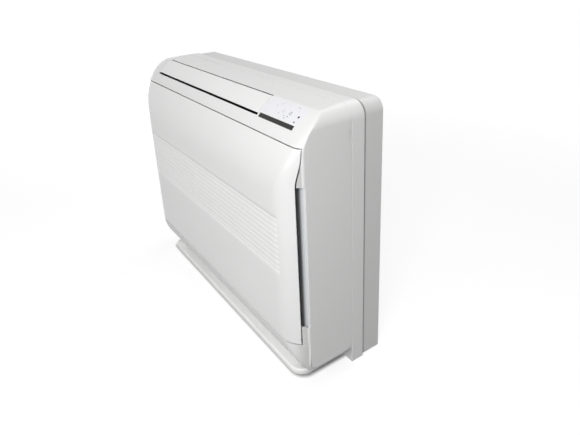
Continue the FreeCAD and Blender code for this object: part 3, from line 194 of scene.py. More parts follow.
# wall inwards from the surface, with rounded edges or with shading that breaks at the crisp angle
def addWall(piece, thickness, edgeRound=0.0, edgeSteps=2, crisp=0.0):
    wall = piece.modifiers.new("wall", "SOLIDIFY")
    wall.thickness = thickness * mm
    wall.offset = -1.0
    wall.use_even_offset = not crisp
    if edgeRound:
        bevel = piece.modifiers.new("edge", "BEVEL")
        bevel.width = edgeRound * mm
        bevel.segments = edgeSteps
        bevel.limit_method = "ANGLE"
        bevel.angle_limit = math.radians(bevelAngle)
        bevel.harden_normals = True
    if crisp:
        addCrisp(piece, crisp)


def addCrisp(piece, angle):
    piece.modifiers.new("crisp", "EDGE_SPLIT").split_angle = math.radians(angle)


# shader node with its settings, and values straight on its sockets
def addNode(nodes, kind, sockets=(), **settings):
    node = nodes.new("ShaderNode" + kind)
    for name, value in settings.items():
        setattr(node, name, value)
    for name, value in dict(sockets).items():
        node.inputs[name].default_value = value
    return node


def grey(level):
    return (level, level, level, 1.0)


# what all finishes share: a slow drift of the colour, and a fine moulded grain in gloss and bump (depth in m)
grainForm = {"driftScale": 9.0, "driftDetail": 3.0, "speckDetail": 2.0,
             "glossSpread": 0.06, "glossLeast": 0.02, "depth": 0.0002}


# finish: principled shader; colour mixes between two tints by noise, roughness and bump follow finer noise,
# both on Object coordinates
def addFinish(name, colour, roughness, grain=0.0, fineness=900.0, metal=0.0, drift=0.02, coat=0.0, shine=0.5):
    form = grainForm
    material = bpy.data.materials.new(name)
    material.use_nodes = True
    nodes, links = material.node_tree.nodes, material.node_tree.links
    shader = nodes["Principled BSDF"]
    shader.inputs["Metallic"].default_value = metal
    shader.inputs["Coat Weight"].default_value = coat
    shader.inputs["Specular IOR Level"].default_value = shine
    darker = (*[c * (1 - drift) for c in colour], 1)
    paler = (*[min(1.0, c * (1 + drift)) for c in colour], 1)
    bright = max(form["glossLeast"], roughness - form["glossSpread"])
    dull = min(1.0, roughness + form["glossSpread"])
    place = addNode(nodes, "TexCoord")
    cloud = addNode(nodes, "TexNoise", {"Scale": form["driftScale"], "Detail": form["driftDetail"]})
    tint = addNode(nodes, "Mix", {"A": darker, "B": paler}, data_type="RGBA")
    speck = addNode(nodes, "TexNoise", {"Scale": fineness, "Detail": form["speckDetail"]})
    gloss = addNode(nodes, "MapRange", {"To Min": bright, "To Max": dull})
    links.new(place.outputs["Object"], cloud.inputs["Vector"])
    links.new(cloud.outputs["Fac"], tint.inputs["Factor"])
    links.new(tint.outputs["Result"], shader.inputs["Base Color"])
    links.new(place.outputs["Object"], speck.inputs["Vector"])
    links.new(speck.outputs["Fac"], gloss.inputs["Value"])
    links.new(gloss.outputs["Result"], shader.inputs["Roughness"])
    if grain:
        bump = addNode(nodes, "Bump", {"Strength": grain, "Distance": form["depth"]})
        links.new(speck.outputs["Fac"], bump.inputs["Height"])
        links.new(bump.outputs["Normal"], shader.inputs["Normal"])
    return material


# name, colour, roughness, then strength and fineness of the grain
finish = {
    "cabinet_white": addFinish("satinCabinetWhite", (0.80, 0.80, 0.795), 0.42, 0.12, 1400),
    "panel_white": addFinish("smoothPanelWhite", (0.82, 0.82, 0.815), 0.30, 0.03, 1600, coat=0.15),
    "flap_white": addFinish("smoothFlapWhite", (0.83, 0.83, 0.825), 0.32, 0.03, 1600, coat=0.1),
    "control_white": addFinish("printedFieldWhite", (0.80, 0.80, 0.83), 0.38, 0.05, 1200),
    "window_dark": addFinish("smokedWindow", (0.016, 0.0145, 0.013), 0.42, 0.0, 600, drift=0.15, shine=0.3),
    "lamp_lens": addFinish("darkLampLens", (0.02, 0.021, 0.02), 0.3, 0.0, 600, shine=0.3),
    "print_grey": addFinish("printGrey", (0.2, 0.2, 0.23), 0.5, 0.0, 900),
    # rear shell white; painted shade at the groove before it is added below
    "rear_white": addFinish("rearShellWhite", (0.72, 0.72, 0.715), 0.5, 0.15, 1200),
    # base white; a painted contact shadow at the floor is added to it below
    "base_white": addFinish("baseWhite", (0.88, 0.88, 0.87), 0.45, 0.12, 1200),
    "plate_steel": addFinish("zincPlate", (0.62, 0.63, 0.64), 0.38, 0.08, 300, metal=1.0, drift=0.12),
    "steel": addFinish("groundSteel", (0.70, 0.70, 0.71), 0.28, 0.05, 700, metal=1.0),
    "rubber_black": addFinish("blackRubber", (0.03, 0.03, 0.03), 0.75, 0.2, 900),
    "circuit_green": addFinish("boardLacquer", (0.04, 0.22, 0.10), 0.35, 0.06, 400, drift=0.1),
    "motor_grey": addFinish("motorCan", (0.45, 0.46, 0.48), 0.4, 0.08, 700, metal=0.8),
    "duct_black": addFinish("ductBlack", (0.012, 0.012, 0.012), 0.6, 0.1, 900),
    "vane_black": addFinish("vaneBlack", (0.016, 0.016, 0.016), 0.5, 0.1, 900),
    "fan_grey": addFinish("fanGrey", (0.05, 0.052, 0.056), 0.5, 0.1, 900),
    "fin_aluminium": addFinish("finAluminium", (0.75, 0.76, 0.77), 0.35, 0.1, 500, metal=1.0),
    "tube_copper": addFinish("copperTube", (0.72, 0.40, 0.26), 0.3, 0.06, 300, metal=1.0, drift=0.1),
    "nut_brass": addFinish("brassNut", (0.72, 0.56, 0.24), 0.3, 0.05, 500, metal=1.0),
    "pan_white": addFinish("panFoamWhite", (0.74, 0.75, 0.76), 0.7, 0.3, 500),
    "grille_white": addFinish("grilleWhite", (0.66, 0.66, 0.65), 0.5, 0.12, 1000),
    "filter_net": addFinish("filterNet", (0.06, 0.07, 0.09), 0.6, 0.1, 900),
    "box_steel": addFinish("boxZinc", (0.64, 0.65, 0.66), 0.42, 0.08, 300, metal=0.9, drift=0.1),
    "terminal_black": addFinish("terminalBlack", (0.03, 0.03, 0.03), 0.45, 0.08, 900),
    "capacitor_silver": addFinish("capacitorCan", (0.72, 0.73, 0.74), 0.3, 0.04, 600, metal=1.0),
}
# rib band: a paler white than the panel's as painted light, the light the ribs catch; its lower roughness and
# thicker coat are a glossier finish
ribPaintedLight = addFinish("glossyRibPaintedLight", (0.87, 0.87, 0.865), 0.26, 0.02, 1600, coat=0.2)
# painted shade for the flange behind the side slots, dark further in
slotShade = addFinish("slotShade", (0.80, 0.82, 0.84), 0.55, 0.1, 900)
# painted shade and highlight for the cheeks and the lower cover: greyer towards the bead, and on the bead paler
# than the cabinet's white
cheekShade = addFinish("cheekPaintedShadeAndHighlight", (0.86, 0.86, 0.855), 0.42, 0.12, 1400)

# painted shade as (mm from the middle or the floor, grey): painted shade in the side slots, darker further in;
# the cheeks
#  painted greyer towards the bead at the side's edge, with a painted highlight on the bead itself; a painted
#  contact shadow on the base at the floor; painted shade on the rear shell at the groove before it
paintedShades = [(slotShade, "X", [(354.0, 0.2), (364.0, 1.0)]),
          (cheekShade, "X", [(350.0, 0.93), (372.6, 0.70), (373.6, 1.0)]),
          (finish["base_white"], "Z", [(0.5, 0.4), (3.0, 1.0)]),
          (finish["rear_white"], "Y", [(69.0, 0.4), (72.5, 1.0)])]


# painted shade: a finish's colour multiplied by a grey that eases from stop to stop along one axis
def addPaintedShade(material, axis, stops):
    nodes, links = material.node_tree.nodes, material.node_tree.links
    first, last = stops[0][0], stops[-1][0]
    place, split = addNode(nodes, "TexCoord"), addNode(nodes, "SeparateXYZ")
    away = addNode(nodes, "Math", operation="ABSOLUTE")
    span = addNode(nodes, "MapRange", {"From Min": first * mm, "From Max": last * mm})
    mix = addNode(nodes, "Mix", {"Factor": 1.0}, data_type="RGBA", blend_type="MULTIPLY")
    ramp = addNode(nodes, "ValToRGB")
    ramp.color_ramp.interpolation = "EASE"
    marks = ramp.color_ramp.elements
    marks[0].color, marks[-1].color = grey(stops[0][1]), grey(stops[-1][1])
    for distance, level in stops[1:-1]:
        marks.new((distance - first) / (last - first)).color = grey(level)
    colour = nodes["Principled BSDF"].inputs["Base Color"]
    links.new(colour.links[0].from_socket, mix.inputs["A"])
    links.new(place.outputs["Object"], split.inputs["Vector"])
    links.new(split.outputs[axis], away.inputs[0])
    links.new(away.outputs["Value"], span.inputs["Value"])
    links.new(span.outputs["Result"], ramp.inputs["Fac"])
    links.new(ramp.outputs["Color"], mix.inputs["B"])
    links.new(mix.outputs["Result"], colour)


# paint each shade into its finish's colour
for shade in paintedShades:
    addPaintedShade(*shade)

# every CAD node takes the finish of its slot; the button is dark like the lamp beside it
finishOf = {entry["node"]: entry["material_slot"] for entry in frame["record"]["subparts"]}
finishOf["temporary_switch"] = "lamp_lens"
for name, node in frame["nodes"].items():
    node.data.materials.clear()
    node.data.materials.append(finish[finishOf[name]])
print("finishes:", len(finish))

# front panel in mm: the skin inside the door's outline, which widens to a shallow ear near the top
panelForm = {"bottom": 109.0, "top": 530.5, "edge": 365.0, "ear": 7.0, "earLow": 455.0, "earHigh": 514.0,
             "gap": 1.0, "topSeam": 2.0, "coverSeam": 3.4,       # to the cheeks, the top and the lower cover
             "edgeRound": 0.9, "edgeSteps": 3,
             "lowKnot": 200.0, "highKnot": 440.0, "rowCounts": [6, 8, 6, 120, 6, 14, 6],
             "shares": [-1, -0.985, -0.91, -0.9, -0.86, 0, 0.86, 0.9, 0.91, 0.985, 1],
             "columnCounts": [4, 14, 4, 6, 16, 16, 6, 4, 14, 4]}
ribBand = {"low": 272.0, "high": 390.0, "half": 331.0, "count": 10, "recess": 0.5, "wave": 0.6,
           "steepness": 2.2, "land": 0.9, "blend": 1.6}


# half width of the panel for a height: a smooth step from the plain edge to the ear
def panelEdge(z):
    t = np.clip((z - panelForm["earLow"]) / (panelForm["earHigh"] - panelForm["earLow"]), 0, 1)
    return panelForm["edge"] + panelForm["ear"] * t * t * (3 - 2 * t)


# ribs: a recess with valleys in it, each a cosine of the height that is steepened and cut flat;
# all of it blends out at the band's edges
def ribDepth(x, z):
    form = ribBand
    phase = (z - form["low"]) / (form["high"] - form["low"]) * form["count"]
    wave = 0.5 + 0.5 * np.cos(2 * np.pi * phase)
    valley = np.clip(wave * form["steepness"] - form["land"], 0, 1)
    inside = 1.0
    for reach in (z - form["low"], form["high"] - z, form["half"] - np.abs(x)):
        inside = inside * np.clip(reach / form["blend"], 0, 1)
    return inside * (form["recess"] + form["wave"] * valley)


# grid of heights by shares of the half width, on the skin, pushed in by the ribs
def addPanel():
    form = panelForm
    z = steps([form["bottom"], skin["bellyZ"], form["lowKnot"], ribBand["low"], ribBand["high"],
               form["highKnot"], form["earHigh"], form["top"]], form["rowCounts"])[:, None]
    x = panelEdge(z) * steps(form["shares"], form["columnCounts"])
    points = skinPoint(x, frontDepth(z), z)
    points[..., 1] += ribDepth(x, z)
    piece = addMesh("frontPanel", points, gridFaces(*x.shape), finish["panel_white"], "panel",
                    ["front_panel"], "panel_white")
    midX, midZ = (x[:-1, :-1] + x[1:, 1:]) / 2, (z[:-1] + z[1:]) / 2
    ribbed = (np.abs(midX) < ribBand["half"]) & (midZ > ribBand["low"]) & (midZ < ribBand["high"])
    # cells of the rib band take the paler white of painted light
    addSecondFinish(piece, ribPaintedLight, ribbed.reshape(-1))
    addWall(piece, skin["wall"], form["edgeRound"], form["edgeSteps"])


addPanel()
print("front panel made")

# cabinet: the skin from the seam over the top and shoulder, down both cheeks; openings are cells left out,
# each between two x in mm and two slopes in degrees
cabinetForm = {"outlet": (-331.0, 208.0), "outletAngles": (-0.5, 48.1),
               "field": (210.0, 338.0), "fieldAngles": (24.0, 44.6),
               "window": (214.0, 331.0), "windowAngles": (45.4, 48.7),
               "slot": (151.0, 458.0),                           # heights of the side slots
               "sideBottom": 40.0, "toe": 16.0, "seamRound": 1.0, "topLead": 0.3,
               "ridgeFirst": 120.1, "ridgePitch": 6.6, "ridgeCount": 4,
               "ridgeDepth": 1.3, "ridgeReach": 1.5, "ridgeFade": 1.0,
               "beadX": 371.4, "beadLead": 0.3, "beadStep": 0.15,
               "scoop": 5.0, "scoopTop": 512.0, "scoopLow": 2.5, "scoopStart": 0.35,
               "lipStart": 4.0, "lip": 0.8, "lipColumns": 12,    # thin strip of the top before the crease
               "creaseNear": 0.8, "creaseRow": 20.05, "topCounts": [3, 8, 2, 2],
               "shoulderCounts": [1, 3, 12, 1, 2, 1, 4], "lowCounts": [4, 10, 6, 60],
               "innerCounts": [24, 1, 1, 8, 1], "closingSteps": 14, "cheekSteps": 4, "rimSteps": 7,
               "downSteps": 7, "toeSteps": 7, "backSteps": 5,
               "wallShares": [0, 0.04, 0.12, 0.3, 0.6, 0.97, 0.988, 0.995, 1.0],
               "tolerance": 0.05, "crisp": 32.0}


# the cheek beside the panel sinks towards the bead along the side: evenly below the slot, above it most at
# the slot's top and not at all at the ear
def scoopDepth(x, z):
    form, edge = cabinetForm, panelForm["edge"]
    start = edge + panelForm["gap"]
    reach = np.clip((np.abs(x) - start) / (form["beadX"] - start), 0, 1)
    upper = form["scoop"] * np.clip((form["scoopTop"] - z) / (form["scoopTop"] - form["slot"][1]), 0, 1)
    level = np.where(z > form["slot"][0] + form["tolerance"], upper, form["scoopLow"])
    sunk = (np.abs(x) > edge) & (np.abs(x) < form["beadX"] + form["tolerance"])
    return level * (form["scoopStart"] + (1 - form["scoopStart"]) * reach) * sunk


# ridges under the slot: grooves at equal heights, full depth near each one's middle, fading out at the bead
def ridgeDepth(x, z):
    form = cabinetForm
    level = (z - form["ridgeFirst"]) / form["ridgePitch"]
    near = np.abs(level - np.clip(np.round(level), 0, form["ridgeCount"] - 1)) * form["ridgePitch"]
    fade = np.clip((form["beadX"] - np.abs(x)) / form["ridgeFade"] + 1, 0, 1) * (np.abs(x) > panelForm["edge"])
    return form["ridgeDepth"] * np.clip(form["ridgeReach"] - near, 0, 1) * fade


# a quarter round at the rear seam: drop = r - sqrt(r^2 - run^2), run being how far into the last r mm
def seamRounding(y):
    r = cabinetForm["seamRound"]
    run = np.clip(y - skin["seamY"] + r, 0, r)
    return r - np.sqrt(r * r - run * run)


# rows of the cabinet as y, z and slope: a straight lean from the seam to the crease, the shoulder's arcs down
# to the panel's top, then the front; slope is -1 on the top, 0 on its lip and 90 on the front
def cabinetRows():
    form, seamY = cabinetForm, skin["seamY"]
    seamZ = panelForm["top"] + panelForm["topSeam"]
    lowAngle = math.degrees(math.acos((seamZ - skin["shoulder"][1]) / skin["shoulder"][2]))
    creaseY, creaseZ = shoulderPoint(skin["crease"])
    lipY = creaseY + form["lipStart"]
    topY = steps([seamY, seamY - form["seamRound"], lipY, creaseY + form["creaseNear"], creaseY],
                 form["topCounts"])[:-1]
    lean = (skin["top"] + form["topLead"] - creaseZ) / (seamY - creaseY)
    topZ = np.minimum(creaseZ + lean * (topY - creaseY), skin["top"])
    angles = steps([skin["crease"], form["creaseRow"], *form["fieldAngles"], form["windowAngles"][0],
                    form["outletAngles"][1], form["windowAngles"][1], lowAngle], form["shoulderCounts"])
    lows = steps([seamZ, panelForm["earHigh"], *form["slot"][::-1],
                  panelForm["bottom"] - panelForm["coverSeam"]], form["lowCounts"])[1:]
    shoulderY, shoulderZ = shoulderPoint(angles)
    y = np.concatenate([topY, shoulderY, frontDepth(lows)])
    z = np.concatenate([topZ, shoulderZ, lows])
    slope = np.concatenate([np.where(topY <= lipY, 0.0, -1.0), angles, np.full(len(lows), 90.0)])
    return y, z, slope


# x across each row, from rim to rim: even steps between the openings, sine steps out to the panel's edge,
# even steps to the bead, then steps that close up towards the side
def cabinetColumns(edge):
    form = cabinetForm
    inner = steps([*form["outlet"], form["field"][0], *form["window"], form["field"][1]], form["innerCounts"])
    closing = np.sin(np.linspace(0, np.pi / 2, form["closingSteps"] + 1))[1:]
    left = inner[0] - (edge + inner[0]) * closing[::-1]
    right = inner[-1] + (edge - inner[-1]) * closing
    bead = np.maximum(form["beadX"], edge + form["beadLead"])
    cheek = edge + (bead - edge) * np.linspace(0, 1, form["cheekSteps"] + 1)[1:]
    share = 1 - (1 - np.linspace(0, 1, form["rimSteps"] + 1)) ** 2
    rimStart = bead + form["beadStep"]
    rim = np.concatenate([cheek, rimStart + (skin["half"] - rimStart) * share], axis=1)
    middle = np.broadcast_to(inner, (len(edge), len(inner)))
    return np.concatenate([-rim[:, ::-1], left, middle, right, rim], axis=1)


# side wall in y and z: straight lines from the skin's edge, its foot and the rounded toe back to the seam
def sideWall(edgeLine):
    form, seamY = cabinetForm, skin["seamY"]
    bottom, toe = form["sideBottom"], form["toe"]
    front, foot = edgeLine[-1]
    turn = np.radians(np.linspace(0, 90, form["toeSteps"] + 1))
    down = np.linspace([front, foot], [front, bottom + toe], form["downSteps"] + 1)[1:-1]
    corner = np.stack([front + toe - toe * np.cos(turn), bottom + toe - toe * np.sin(turn)], axis=-1)
    back = np.linspace([front + toe, bottom], [seamY, bottom], form["backSteps"] + 1)[1:]
    path = np.concatenate([edgeLine, down, corner, back])
    rear = np.linspace([seamY, path[0, 1]], [seamY, bottom], len(path))
    share = np.array(form["wallShares"])[None, :, None]
    return path[:, None] * (1 - share) + rear[:, None] * share


# rows by columns on the skin, less the openings, with the ridges and the scoop, and a wall at each side
def addCabinet():
    form = cabinetForm
    y, z, slope = (values[:, None] for values in cabinetRows())
    edge = panelEdge(z) + panelForm["gap"]
    x = cabinetColumns(edge)
    points = skinPoint(x, y, z)
    points[..., 1] += ridgeDepth(x, z) + scoopDepth(x, z)
    points[..., 2] -= seamRounding(points[..., 1])
    midX = (x[:-1, :-1] + x[1:, 1:]) / 2
    midEdge, midSlope, midZ = ((values[:-1] + values[1:]) / 2 for values in (edge, slope, z))

    def opening(key):
        (left, right), (low, high) = form[key], form[key + "Angles"]
        return (midX > left) & (midX < right) & (midSlope > low) & (midSlope < high)

    cheeks = np.abs(midX) > midEdge
    gone = opening("outlet") | opening("field") | opening("window")
    gone |= (midZ < panelForm["top"] + panelForm["topSeam"]) & (np.abs(midX) < midEdge)
    gone |= (midZ < form["slot"][1]) & (midZ > form["slot"][0]) & cheeks
    flat = sideWall(points[:, -1, 1:])
    sideX = skin["half"] - seamRounding(flat[..., :1])
    sideFaces = gridFaces(*flat.shape[:2])
    points, faces = joinGrids([(points, gridFaces(*x.shape, keep=~gone)[:, ::-1]),
                               (np.concatenate([sideX, flat], axis=-1), sideFaces[:, ::-1]),
                               (np.concatenate([-sideX, flat], axis=-1), sideFaces)])
    piece = addMesh("cabinetSkin", points, faces, finish["cabinet_white"], "unit", ["front_cabinet"],
                    "cabinet_white", merge=form["tolerance"])
    # painted shade and highlight on the cheeks below the scoop's top
    addSecondFinish(piece, cheekShade, (cheeks & (midZ < form["scoopTop"]))[~gone])
    addWall(piece, skin["wall"], crisp=form["crisp"])


# lip: the rows of the top just before the crease, thinner, so that the flap's rear edge can swing under it
def addLip():
    form = cabinetForm
    y, z, slope = cabinetRows()
    rows = (slope >= 0) & (slope < form["creaseRow"])
    across = steps(form["outlet"], [form["lipColumns"]])
    points = gridPoints(across, y[rows][:, None], z[rows][:, None])
    piece = addMesh("outletLip", points, gridFaces(*points.shape[:2])[:, ::-1], finish["cabinet_white"], "unit",
                    ["front_cabinet"], "cabinet_white")
    addWall(piece, form["lip"], crisp=form["crisp"])


addCabinet()
addLip()

# flange behind the panel in mm: a flat frame round the filter window with two holes for the panel's catches,
#  painted shade where it lies behind the side slots
flangeForm = {"y": -78.5, "half": 371.5, "low": 105.6, "high": 530.0, "thickness": 3.0, "edgeRound": 0.5,
              "windowHalf": 332.0, "windowLow": 146.0, "windowHigh": 485.0,
              "catch": (236.8, 263.2), "catchZ": (510.8, 518.2), "shadeLow": 136.0, "shadeHigh": 456.0}


# flat grid through all the edges of the frame; the cells of the window and the holes are left out
def addFlange():
    form = flangeForm
    right = np.array([*form["catch"], form["windowHalf"], form["half"]])
    x = np.concatenate([-right[::-1], right])
    z = np.array([form["low"], form["shadeLow"], form["windowLow"], form["shadeHigh"], form["windowHigh"],
                  *form["catchZ"], form["high"]])[:, None]
    out, midZ = np.abs(x[:-1] + x[1:]) / 2, (z[:-1] + z[1:]) / 2
    window = (out < form["windowHalf"]) & (midZ > form["windowLow"]) & (midZ < form["windowHigh"])
    catches = (out > form["catch"][0]) & (out < form["catch"][1])
    catches = catches & (midZ > form["catchZ"][0]) & (midZ < form["catchZ"][1])
    shaded = (out > form["windowHalf"]) & (midZ > form["shadeLow"]) & (midZ < form["shadeHigh"])
    keep = ~(window | catches)
    piece = addMesh("filterFlange", gridPoints(x, form["y"], z), gridFaces(len(z), len(x), keep),
                    finish["cabinet_white"], "unit", ["front_cabinet"], "cabinet_white", smooth=False)
    # painted shade on the cells behind the side slots
    addSecondFinish(piece, slotShade, shaded[keep])
    addWall(piece, form["thickness"], form["edgeRound"])


addFlange()
print("cabinet made")

# louver flap: the skin between two slopes, a round spine under its rear edge and a pin at each end;
# the pivot is a slope and a depth below the skin there
flapForm = {"left": -329.5, "right": 206.5, "angles": (22.2, 46.2), "rows": 26, "columns": 20,
            "thickness": 3.5, "edgeRound": 0.5, "pivot": (24.0, 7.0),
            "spine": 4.2, "pin": 2.5, "pinLength": 9.0, "pinTip": 0.01, "rodSides": 24, "crisp": 40.0}


# rod along x: at each station of x and radius a circle round the axis, point = axis + radius * (cos, sin)
def rodGrid(stations, y, z, sides):
    turn = np.linspace(0, 2 * np.pi, sides, endpoint=False)
    x, r = np.array(stations, float).T[:, :, None]
    index = np.arange(len(x) * sides).reshape(len(x), sides)
    after = np.roll(index, -1, axis=1)
    quads = np.stack([index[:-1], after[:-1], after[1:], index[1:]], axis=-1)
    return gridPoints(x, y + r * np.cos(turn), z + r * np.sin(turn)), quads.reshape(-1, 4)


# leaf: slopes by x on the skin, no higher than the top; spine: a rod along the pivot
def addFlap():
    form = flapForm
    left, right, spine, pin, tip = (form[key] for key in ("left", "right", "spine", "pin", "pinTip"))
    y, z = shoulderPoint(steps(form["angles"], [form["rows"]])[:, None])
    points = gridPoints(steps([left, right], [form["columns"]]), y, np.minimum(z, skin["top"]))
    piece = addMesh("flapLeaf", points, gridFaces(*points.shape[:2])[:, ::-1], finish["flap_white"], "flap",
                    ["louver_flap"], "flap_white")
    addWall(piece, form["thickness"], form["edgeRound"])
    slope, depth = form["pivot"]
    pivotY, pivotZ = shoulderPoint(slope)
    pivotY += depth * math.sin(math.radians(slope))
    pivotZ -= depth * math.cos(math.radians(slope))
    leftEnd, rightEnd = left - form["pinLength"], right + form["pinLength"]
    stations = [(leftEnd, tip), (leftEnd, pin), (left, pin), (left, spine),
                (right, spine), (right, pin), (rightEnd, pin), (rightEnd, tip)]
    points, faces = rodGrid(stations, pivotY, pivotZ, form["rodSides"])
    piece = addMesh("flapSpine", points, faces, finish["flap_white"], "flap", ["louver_flap"], "flap_white")
    addCrisp(piece, form["crisp"])


addFlap()

# printed marks on the control field: plain rings as (x, slope, radius, width) and bars as (x, slope, length,
# half width), lifted just over the film; slopeStep is mm of slope in one degree, near enough for a mark
markForm = {"lift": 0.06, "slopeStep": 2.5, "ringSteps": 28, "barGrid": (3, 5),
            "rings": [(298.6, 38.4, 3.4, 1.1), (258.0, 31.5, 2.6, 0.5), (276.0, 38.5, 2.6, 0.5)],
            "bars": [(307.6, 28.3, 4.0, 1.0), (313.2, 29.4, 2.8, 1.0), (295.5, 41.2, 3.4, 0.9),
                     (289.5, 42.9, 3.2, 0.7), (284.0, 41.3, 2.6, 0.6), (262.0, 27.4, 3.0, 0.5),
                     (280.0, 30.0, 3.0, 0.5), (316.4, 34.6, 2.6, 0.55), (247.0, 36.0, 3.4, 0.5),
                     (266.0, 41.0, 3.0, 0.5)]}


# point on the field: x across, up the slope by so many mm from an angle, lifted along the slope's normal
def fieldPoint(x, angle, up):
    angle = angle - up / markForm["slopeStep"]
    y, z = shoulderPoint(angle)
    turn = np.radians(angle)
    return gridPoints(x, y - markForm["lift"] * np.sin(turn), z + markForm["lift"] * np.cos(turn))


# rings are two circles joined, bars are small flat grids, all in one mesh
def addMarks():
    form = markForm
    turn = np.linspace(0, 2 * np.pi, form["ringSteps"] + 1)
    rows, columns = form["barGrid"]
    ringFaces, barFaces = gridFaces(2, len(turn))[:, ::-1], gridFaces(rows, columns)
    grids = []
    for x, angle, radius, width in form["rings"]:
        r = np.array([[radius - width], [radius]])
        grids.append((fieldPoint(x + r * np.cos(turn), angle, r * np.sin(turn)), ringFaces))
    for x, angle, length, width in form["bars"]:
        up = np.linspace(-width, width, rows)[:, None]
        grids.append((fieldPoint(x + np.linspace(-length / 2, length / 2, columns), angle, up), barFaces))
    addMesh("fieldMarks", *joinGrids(grids), finish["print_grey"], "unit", slot="control_white")


addMarks()
print("flap and field made")

# lower cover in mm: the skin below the panel, rimDepth being how far behind the front its ends lie
coverForm = {"top": 105.6, "bottom": 14.0, "underHalf": 326.0, "rimDepth": 36.0,
             "edgeRound": 0.8, "edgeSteps": 3, "knots": (40.0, 60.0), "rowCounts": [8, 10, 22],
             "shares": [-1, -0.8, 0, 0.8, 1], "columnCounts": [26, 8, 8, 26]}


# grid of heights by shares of the half width; each row ends where the cheek's arc reaches the rim's depth
def addCover():
    form, p, r = coverForm, skin["softness"], skin["cheekRound"]
    z = steps([form["bottom"], *form["knots"], form["top"]], form["rowCounts"])[:, None]
    depth = frontDepth(z) - skin["front"]
    left = np.clip(form["rimDepth"] ** p - depth ** p, 0, None) ** (1 / p)
    reach = skin["cheekX"] + np.sqrt(np.clip(r * r - (r - left) ** 2, 0, None))
    half = np.clip(reach, form["underHalf"], skin["half"])
    x = half * steps(form["shares"], form["columnCounts"])
    # the whole cover takes the cheeks' painted shade at its ends and the painted highlight on the bead
    piece = addMesh("lowerCover", skinPoint(x, frontDepth(z), z), gridFaces(*x.shape), cheekShade, "unit",
                    ["lower_cover"], "cabinet_white")
    addWall(piece, skin["wall"], form["edgeRound"], form["edgeSteps"])


addCover()
print("lower cover made")

# hinge at the panel's foot in mm: lugs on the panel between brackets on the cover, drawn in side view
hingeForm = {"y": -106.0, "z": 114.2, "noseSteps": 12,
             "lugX": 290.0, "lugHalf": 3.0, "lugRound": 5.0,
             "lugFront": -113.0, "lugLow": 110.0, "lugTop": 120.2,
             "bracketNear": 4.0, "bracketFar": 8.0, "bracketRound": 4.4, "bracketRear": -96.0,
             "postFront": -101.0, "footFront": -106.5, "footLow": 86.0, "footTop": 98.0}


# slabs: one outline of y and z drawn out along x over each span, with flat ends
def slabPoints(outline, spans):
    outline, spans = np.array(outline, float), np.array(spans, float)
    points = gridPoints(spans[:, :, None], outline[:, 0], outline[:, 1])
    index = np.arange(points.size // 3).reshape(points.shape[:3])
    after = np.roll(index, -1, axis=2)
    quads = np.stack([index[:, 0], after[:, 0], after[:, 1], index[:, 1]], axis=-1).reshape(-1, 4)
    caps = [cap[::-1] for cap in index[:, 0]] + list(index[:, 1])
    return points, quads, caps


# each outline has a half round about the hinge's axis: the lug's to the rear, the bracket's to the front
def addHinges():
    form = hingeForm
    y, z, r = form["y"], form["z"], form["lugRound"]
    turn = np.radians(np.linspace(-90, 90, form["noseSteps"] + 1))
    nose = np.stack([y + r * np.cos(turn), z + r * np.sin(turn)], axis=-1)
    lug = [(form["lugFront"], form["lugLow"]), *nose, (y, form["lugTop"]), (form["lugFront"], form["lugTop"])]
    spans = [(middle - form["lugHalf"], middle + form["lugHalf"]) for middle in (-form["lugX"], form["lugX"])]
    points, quads, caps = slabPoints(lug, spans)
    addMesh("panelLugs", points, quads, finish["panel_white"], "panel", ["front_panel"], "panel_white",
            smooth=False, caps=caps)
    r = form["bracketRound"]
    nose = np.stack([y - r * np.cos(turn), z + r * np.sin(turn)], axis=-1)[::-1]
    bracket = [(form["footFront"], form["footLow"]), (form["bracketRear"], form["footLow"]),
               (form["bracketRear"], z + r), *nose, (form["postFront"], z - r),
               (form["postFront"], form["footTop"]), (form["footFront"], form["footTop"])]
    spans = [sorted((middle + side * form["bracketNear"], middle + side * form["bracketFar"]))
             for middle in (-form["lugX"], form["lugX"]) for side in (-1, 1)]
    points, quads, caps = slabPoints(bracket, spans)
    addMesh("coverBrackets", points, quads, finish["cabinet_white"], "unit", ["lower_cover"], "cabinet_white",
            smooth=False, caps=caps)


addHinges()
print("hinges made")

# studio in m: pale floor that keeps the shadow, white backdrop for the camera, four soft lights and a dim sky;
# each lamp is its place, size and power in W
studio = {"floor": 0.34, "floorGlow": 0.74, "bounce": 0.14, "sky": 0.27,
          "reach": 60.0, "fadeStart": 0.9, "fadeEnd": 1.9,       # the floor turns white with distance
          "footMiddle": (0.0, 0.0115, 0.0), "footHalf": (0.320, 0.0705, 0.0),
          "footStart": 0.026, "footEnd": 0.040,                  # the shadow where the unit meets the floor
          "aim": (0.0, 0.0, 0.3),
          "lamps": [((1.35, -1.05, 1.35), 0.9, 23.0), ((0.3, -2.0, 1.0), 1.2, 12.5),
                    ((-0.3, 1.3, 2.0), 1.2, 12.0), ((-1.9, 0.2, 0.35), 0.7, 7.0)]}


# one where a camera, mirror or glass ray meets the surface, nought for light that bounces
def seenByCamera(nodes, links):
    path = addNode(nodes, "LightPath")
    first, second = (addNode(nodes, "Math", operation="MAXIMUM") for _ in range(2))
    links.new(path.outputs["Is Camera Ray"], first.inputs[0])
    links.new(path.outputs["Is Glossy Ray"], first.inputs[1])
    links.new(first.outputs["Value"], second.inputs[0])
    links.new(path.outputs["Is Transmission Ray"], second.inputs[1])
    return second.outputs["Value"]


# rises smoothly from nought to top between two distances
def smoothRise(nodes, links, distance, start, end, top=1.0):
    rise = addNode(nodes, "MapRange", {"From Min": start, "From Max": end, "To Max": top},
                   interpolation_type="SMOOTHSTEP")
    links.new(distance, rise.inputs["Value"])
    return rise.outputs["Result"]


